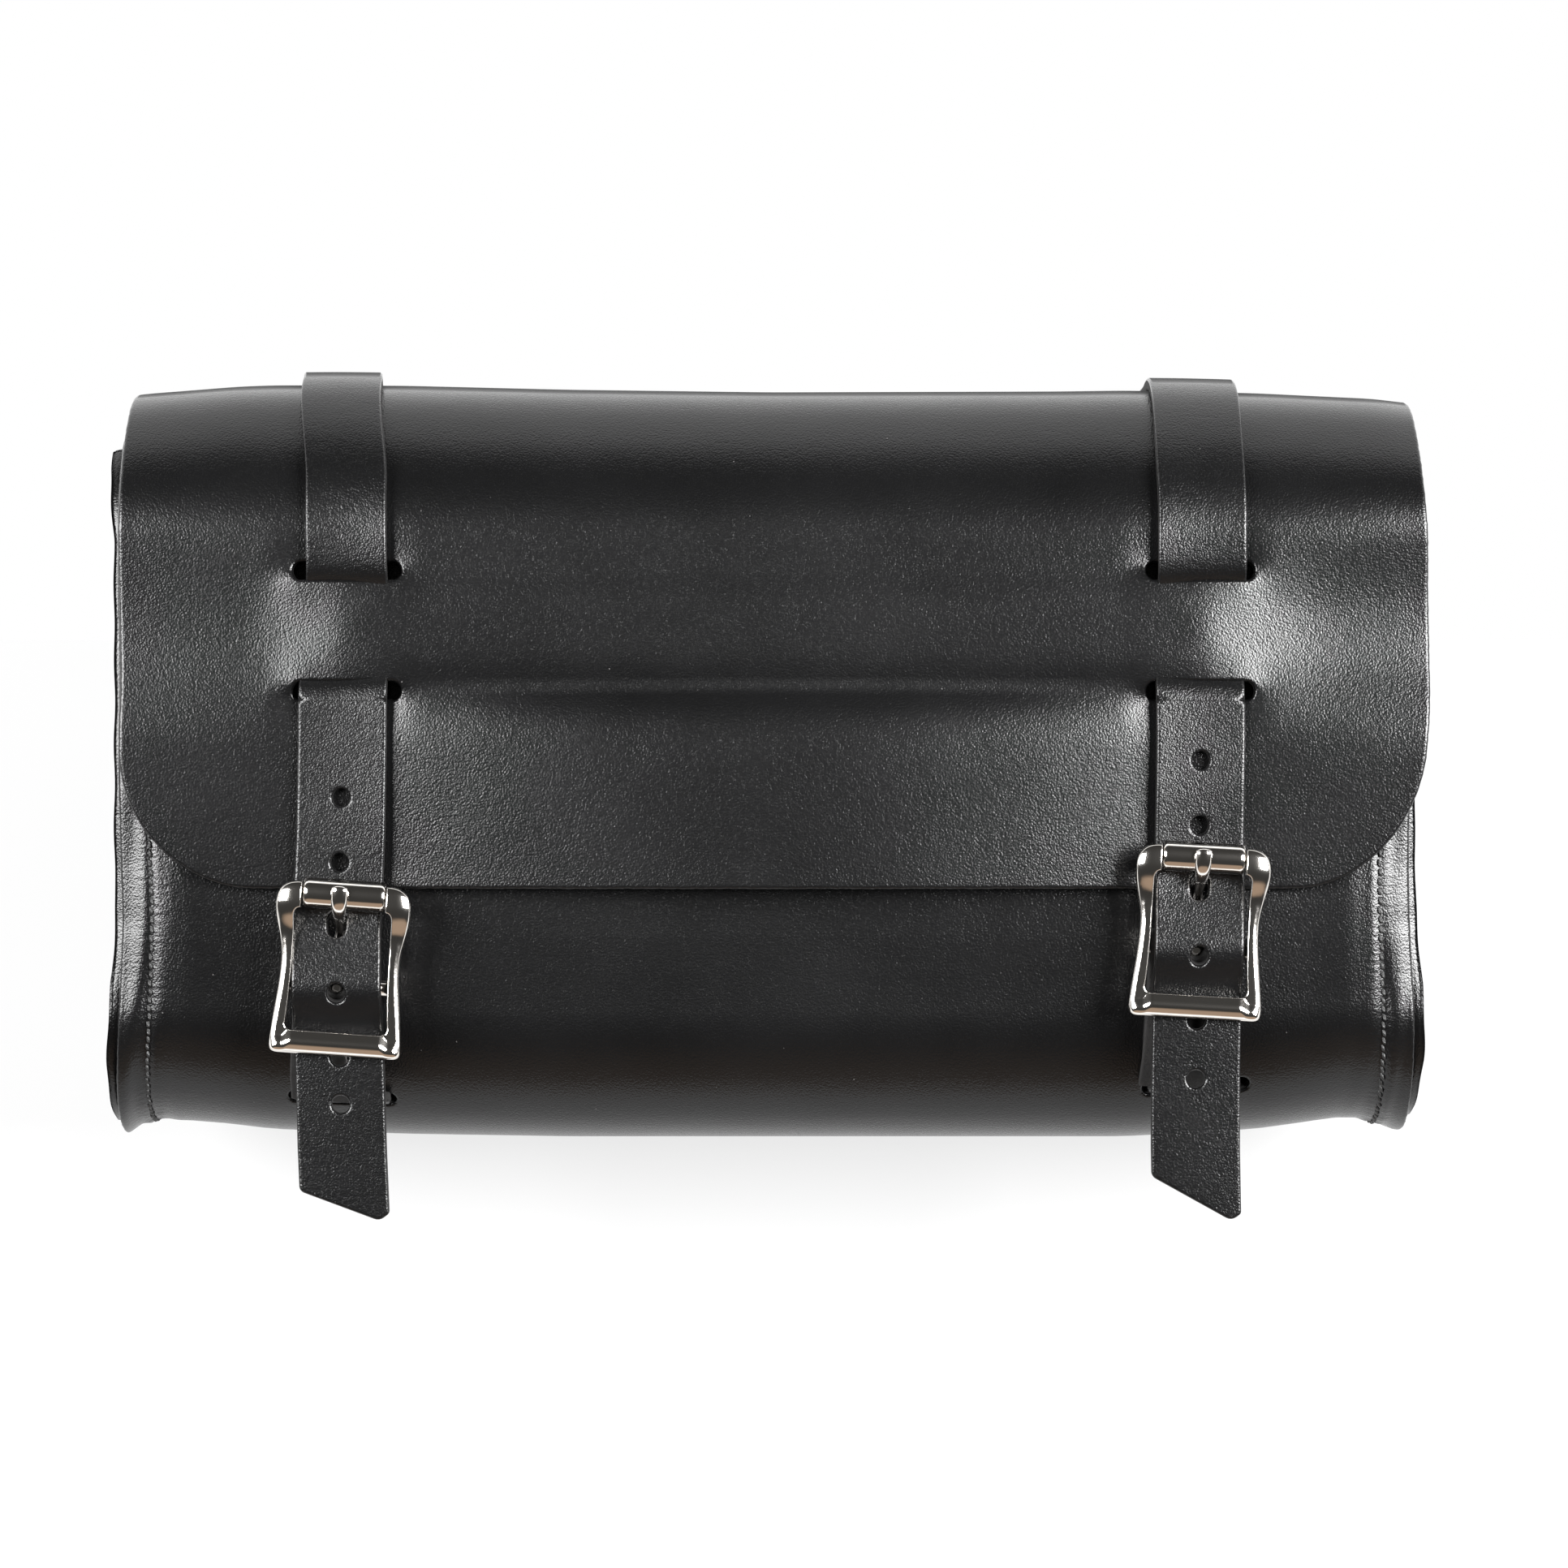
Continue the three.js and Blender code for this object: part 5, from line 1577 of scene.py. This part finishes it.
def grain_leather(name, dye, scale, swell, roughness, rubbed, depth, creases):
    """Dyed and waxed grain side, with puckers of its own scale and fine cross creases. What
    faces straight up is made duller, so that the flat top doesn't mirror a lamp."""
    material, tree, shader, place = new_material(name)
    grain = add_node(tree, "ShaderNodeGroup", node_tree=leather_grain_group())
    tree.links.new(place, grain.inputs["Place"])
    grain.inputs["Scale"].default_value = scale
    grain.inputs["Swell"].default_value = swell
    marks = add_node(tree, "ShaderNodeGroup", node_tree=handling_group())
    tree.links.new(place, marks.inputs["Place"])
    marks.inputs["Dye"].default_value = dye
    marks.inputs["Roughness"].default_value = roughness
    marks.inputs["Rubbed"].default_value = rubbed
    normal = bump(tree, grain.outputs["Height"], 0.55, depth)
    if creases:
        stretched = add_node(tree, "ShaderNodeMapping", {"Vector": place, "Scale": (1.0, 1.0, 9.0)})
        folds = add_node(
            tree, "ShaderNodeTexNoise",
            {"Vector": stretched.outputs[0], "Scale": 75.0, "Detail": 4.0, "Roughness": 0.6},
        )
        line = add_node(
            tree, "ShaderNodeMapRange",
            {"Value": folds.outputs["Fac"], "From Min": 0.36, "From Max": 0.46},
        )
        normal = bump(tree, line.outputs[0], creases, 0.0003, normal)
    tree.links.new(marks.outputs["Colour"], shader.inputs["Base Color"])
    facing = add_node(tree, "ShaderNodeSeparateXYZ", {"Vector": place.node.outputs["Normal"]})
    worn = add_node(
        tree, "ShaderNodeMapRange",
        {"Value": facing.outputs["Z"], "From Min": 0.95, "From Max": 0.995, "To Max": 0.8},
    )
    dull = maths(tree, "ADD", marks.outputs["Roughness"], worn.outputs[0])
    tree.links.new(dull, shader.inputs["Roughness"])
    tree.links.new(normal, shader.inputs["Normal"])
    shader.inputs["Specular IOR Level"].default_value = 0.32
    return material


def fibre_leather(name, dye, scale, depth):
    """Raw leather without its grain: dull, with loose fibres."""
    material, tree, shader, place = new_material(name)
    fibres = add_node(tree, "ShaderNodeGroup", node_tree=fibre_group())
    tree.links.new(place, fibres.inputs["Place"])
    fibres.inputs["Dye"].default_value = dye
    fibres.inputs["Scale"].default_value = scale
    tree.links.new(fibres.outputs["Colour"], shader.inputs["Base Color"])
    tree.links.new(bump(tree, fibres.outputs["Height"], 0.8, depth), shader.inputs["Normal"])
    shader.inputs["Roughness"].default_value = 0.82
    shader.inputs["Specular IOR Level"].default_value = 0.3
    return material


def metal(name, colour, roughness, scratch):
    """Plated or brushed metal with fine scratches, shallow dents and dulled spots."""
    material, tree, shader, place = new_material(name)
    stretched = add_node(
        tree, "ShaderNodeMapping",
        {"Vector": place, "Scale": (1.0, 1.0, 6.0), "Rotation": (0.2, 0.4, 0.3)},
    )
    lines = add_node(
        tree, "ShaderNodeTexNoise",
        {"Vector": stretched.outputs[0], "Scale": 900.0, "Detail": 5.0, "Roughness": 0.65},
    )
    dents = add_node(tree, "ShaderNodeTexNoise", {"Vector": place, "Scale": 160.0, "Detail": 2.0})
    spots = add_node(
        tree, "ShaderNodeTexNoise", {"Vector": place, "Scale": 420.0, "Detail": 4.0, "Roughness": 0.6}
    )
    rough = add_node(
        tree, "ShaderNodeMapRange",
        {
            "Value": spots.outputs["Fac"], "From Min": 0.4, "From Max": 0.75, "To Min": roughness,
            "To Max": roughness + 0.13,
        },
    )
    tint = add_node(
        tree, "ShaderNodeMapRange",
        {
            "Value": dents.outputs["Fac"], "From Min": 0.3, "From Max": 0.7, "To Min": 0.93,
            "To Max": 1.05,
        },
    )
    toned = add_node(
        tree, "ShaderNodeVectorMath", {0: colour[:3], "Scale": tint.outputs[0]}, operation="SCALE"
    )
    tree.links.new(toned.outputs[0], shader.inputs["Base Color"])
    tree.links.new(rough.outputs[0], shader.inputs["Roughness"])
    normal = bump(tree, lines.outputs["Fac"], scratch, 0.00002)
    tree.links.new(bump(tree, dents.outputs["Fac"], 0.25, 0.00025, normal), shader.inputs["Normal"])
    shader.inputs["Metallic"].default_value = 1.0
    return material


def thread_material(name, dye):
    """Waxed two-ply thread: slanting plies across the stitch, with a little wax bloom."""
    material, tree, shader, place = new_material(name)
    plies = add_node(
        tree, "ShaderNodeTexWave", {"Vector": place, "Scale": 900.0, "Distortion": 1.2, "Detail": 2.0},
        bands_direction="DIAGONAL",
    )
    bloom = add_node(tree, "ShaderNodeTexNoise", {"Vector": place, "Scale": 500.0, "Detail": 3.0})
    tone = add_node(
        tree, "ShaderNodeMapRange",
        {
            "Value": bloom.outputs["Fac"], "From Min": 0.35, "From Max": 0.75, "To Min": 0.7,
            "To Max": 2.6,
        },
    )
    toned = add_node(
        tree, "ShaderNodeVectorMath", {0: dye[:3], "Scale": tone.outputs[0]}, operation="SCALE"
    )
    tree.links.new(toned.outputs[0], shader.inputs["Base Color"])
    tree.links.new(bump(tree, plies.outputs["Fac"], 0.6, 0.00015), shader.inputs["Normal"])
    shader.inputs["Roughness"].default_value = 0.5
    return material


def material_named(name):
    """The finish of that name, made the first time that a piece asks for it."""
    found = bpy.data.materials.get(name)
    if found:
        return found
    look = bpy.context.scene.saddlebag_look
    makers = {
        "bag_grain": lambda: grain_leather(name, look.bag_colour, 2300.0, 3.0, 0.23, 0.06, 0.00010, 0),
        "strap_grain": lambda: grain_leather(
            name, look.strap_colour, 2500.0, 3.0, 0.24, 0.06, 0.00012, 0.06
        ),
        "leather_flesh_side": lambda: fibre_leather(name, look.flesh_colour, 1100.0, 0.00022),
        "leather_cut_edge": lambda: fibre_leather(
            name, tuple(v * 0.55 for v in look.flesh_colour[:3]) + (1,), 1900.0, 0.0003
        ),
        "waxed_thread": lambda: thread_material(name, look.thread_colour),
        "nickel_plate": lambda: metal(name, look.plate_colour, 0.045, 0.12),
        "rivet_steel": lambda: metal(name, look.steel_colour, 0.24, 0.35),
    }
    return makers[name]()


# Stage
def softbox(name, sign, power):
    """A soft rectangular lamp in front of the bag, to its left or right, facing it."""
    light = bpy.data.lights.new(name, "AREA")
    light.shape = "RECTANGLE"
    light.size, light.size_y = LAMP_SIZE
    light.energy = power
    lamp = bpy.data.objects.new(name, light)
    place = Vector((sign * LAMP_PLACE[0], *LAMP_PLACE[1:]))
    lamp.location = place
    lamp.rotation_euler = (Vector(LAMP_TARGET) - place).to_track_quat("-Z", "Y").to_euler()
    bpy.context.scene.collection.objects.link(lamp)


def backdrop_material():
    """White paper that camera, mirror and clear rays meet from its front; it keeps a shadow."""
    material = bpy.data.materials.new("white_paper")
    material.use_nodes = True
    tree = material.node_tree
    tree.nodes.clear()
    path = tree.nodes.new("ShaderNodeLightPath")
    back = tree.nodes.new("ShaderNodeNewGeometry").outputs["Backfacing"]
    seen = maths(
        tree, "MAXIMUM",
        maths(tree, "MAXIMUM", path.outputs["Is Camera Ray"], path.outputs["Is Glossy Ray"]),
        path.outputs["Is Transmission Ray"],
    )
    front = maths(tree, "SUBTRACT", seen, back)
    fibre = add_node(tree, "ShaderNodeTexNoise", {"Scale": 40.0, "Detail": 3.0})
    paper = add_node(
        tree, "ShaderNodeMapRange", {"Value": fibre.outputs["Fac"], "To Min": 0.082, "To Max": 0.088}
    )
    card = add_node(tree, "ShaderNodeBsdfDiffuse", {"Color": paper.outputs[0]})
    glow = add_node(tree, "ShaderNodeEmission", {"Color": (1, 1, 1, 1), "Strength": 0.765})
    lit = add_node(tree, "ShaderNodeAddShader", {0: card.outputs[0], 1: glow.outputs[0]})
    clear = tree.nodes.new("ShaderNodeBsdfTransparent")
    mixed = add_node(tree, "ShaderNodeMixShader", {0: front, 1: clear.outputs[0], 2: lit.outputs[0]})
    out = tree.nodes.new("ShaderNodeOutputMaterial")
    tree.links.new(mixed.outputs[0], out.inputs["Surface"])
    return material


def studio_world(scene):
    """White all round for the camera and clear rays. Mirrors see a white room behind the bag
    and a dim one in front of it, and everything else gets a plain low light."""
    world = bpy.data.worlds.new("studio")
    scene.world = world
    world.use_nodes = True
    tree = world.node_tree
    tree.nodes.clear()
    path = tree.nodes.new("ShaderNodeLightPath")
    direction = add_node(
        tree, "ShaderNodeSeparateXYZ", {0: tree.nodes.new("ShaderNodeTexCoord").outputs["Generated"]}
    )
    behind = add_node(
        tree, "ShaderNodeMapRange",
        {"Value": direction.outputs["Y"], "From Min": -0.22, "From Max": -0.04},
    )
    below = add_node(
        tree, "ShaderNodeMapRange",
        {"Value": direction.outputs["Z"], "From Min": -0.68, "From Max": -0.76},
    )
    dim = add_node(
        tree, "ShaderNodeMix",
        {"Factor": below.outputs[0], 6: (0.045, 0.044, 0.042, 1), 7: (0.48, 0.35, 0.255, 1)},
        data_type="RGBA",
    )
    room = add_node(
        tree, "ShaderNodeMix",
        {"Factor": behind.outputs[0], 6: dim.outputs[2], 7: (1.95, 1.95, 1.95, 1)}, data_type="RGBA",
    )
    level = add_node(
        tree, "ShaderNodeMix",
        {"Factor": path.outputs["Is Glossy Ray"], 6: (0.25, 0.25, 0.25, 1), 7: room.outputs[2]},
        data_type="RGBA",
    )
    white = maths(tree, "MAXIMUM", path.outputs["Is Camera Ray"], path.outputs["Is Transmission Ray"])
    colour = add_node(
        tree, "ShaderNodeMix", {"Factor": white, 6: level.outputs[2], 7: (1, 1, 1, 1)}, data_type="RGBA"
    )
    shade = add_node(tree, "ShaderNodeBackground", {"Color": colour.outputs[2]})
    out = tree.nodes.new("ShaderNodeOutputWorld")
    tree.links.new(shade.outputs[0], out.inputs["Surface"])


class SADDLEBAG_OT_stage(bpy.types.Operator):
    """White card behind the bag's lower half, soft lights at both sides and the camera in front"""

    bl_idname = "saddlebag.stage"
    bl_label = "Make the stage"

    def execute(self, context):
        scene = context.scene
        corners = ((-1, -CARD_REACH), (1, -CARD_REACH), (1, CARD_TOP), (-1, CARD_TOP))
        points = [(sign * CARD_REACH, CARD_Y, z) for sign, z in corners]
        mesh = bpy.data.meshes.new("backdrop")
        mesh.from_pydata(points, [], [(0, 1, 2, 3)])
        mesh.materials.append(backdrop_material())
        card = bpy.data.objects.new("backdrop", mesh)
        scene.collection.objects.link(card)
        for name, side in SIDES.items():
            softbox(f"{name}_softbox", side["sign"], side["lamp"])
        studio_world(scene)
        camera = bpy.data.cameras.new("photo_camera")
        camera.lens = CAMERA_LENS
        camera.sensor_width = 36
        holder = bpy.data.objects.new("photo_camera", camera)
        holder.location = CAMERA_PLACE
        holder.rotation_euler = (math.radians(90), 0, 0)
        scene.collection.objects.link(holder)
        scene.camera = holder
        scene.view_settings.view_transform = "Standard"
        return {"FINISHED"}


class SADDLEBAG_PT_panel(bpy.types.Panel):
    """Builds the saddlebag piece by piece"""

    bl_idname = "SADDLEBAG_PT_panel"
    bl_label = "Saddlebag"
    bl_space_type = "VIEW_3D"
    bl_region_type = "UI"
    bl_category = "Saddlebag"

    def draw(self, context):
        for group in (context.scene.saddlebag_sizes, context.scene.saddlebag_look):
            for key in group.__annotations__:
                self.layout.prop(group, key)
        for operator in OPERATORS:
            self.layout.operator(operator.bl_idname)


OPERATORS = (
    SADDLEBAG_OT_stage, SADDLEBAG_OT_wrap, SADDLEBAG_OT_flap, SADDLEBAG_OT_gussets,
    SADDLEBAG_OT_stitches, SADDLEBAG_OT_straps, SADDLEBAG_OT_chapes, SADDLEBAG_OT_buckles,
)
CLASSES = (SaddlebagSizes, SaddlebagLook, *OPERATORS, SADDLEBAG_PT_panel)


def register():
    for kind in CLASSES:
        bpy.utils.register_class(kind)
    bpy.types.Scene.saddlebag_sizes = PointerProperty(type=SaddlebagSizes)
    bpy.types.Scene.saddlebag_look = PointerProperty(type=SaddlebagLook)


def unregister():
    del bpy.types.Scene.saddlebag_look
    del bpy.types.Scene.saddlebag_sizes
    for kind in reversed(CLASSES):
        bpy.utils.unregister_class(kind)


def main():
    register()
    for step in ("stage", "wrap", "flap", "gussets", "stitches", "straps", "chapes", "buckles"):
        getattr(bpy.ops.saddlebag, step)()


if __name__ == "__main__":
    main()
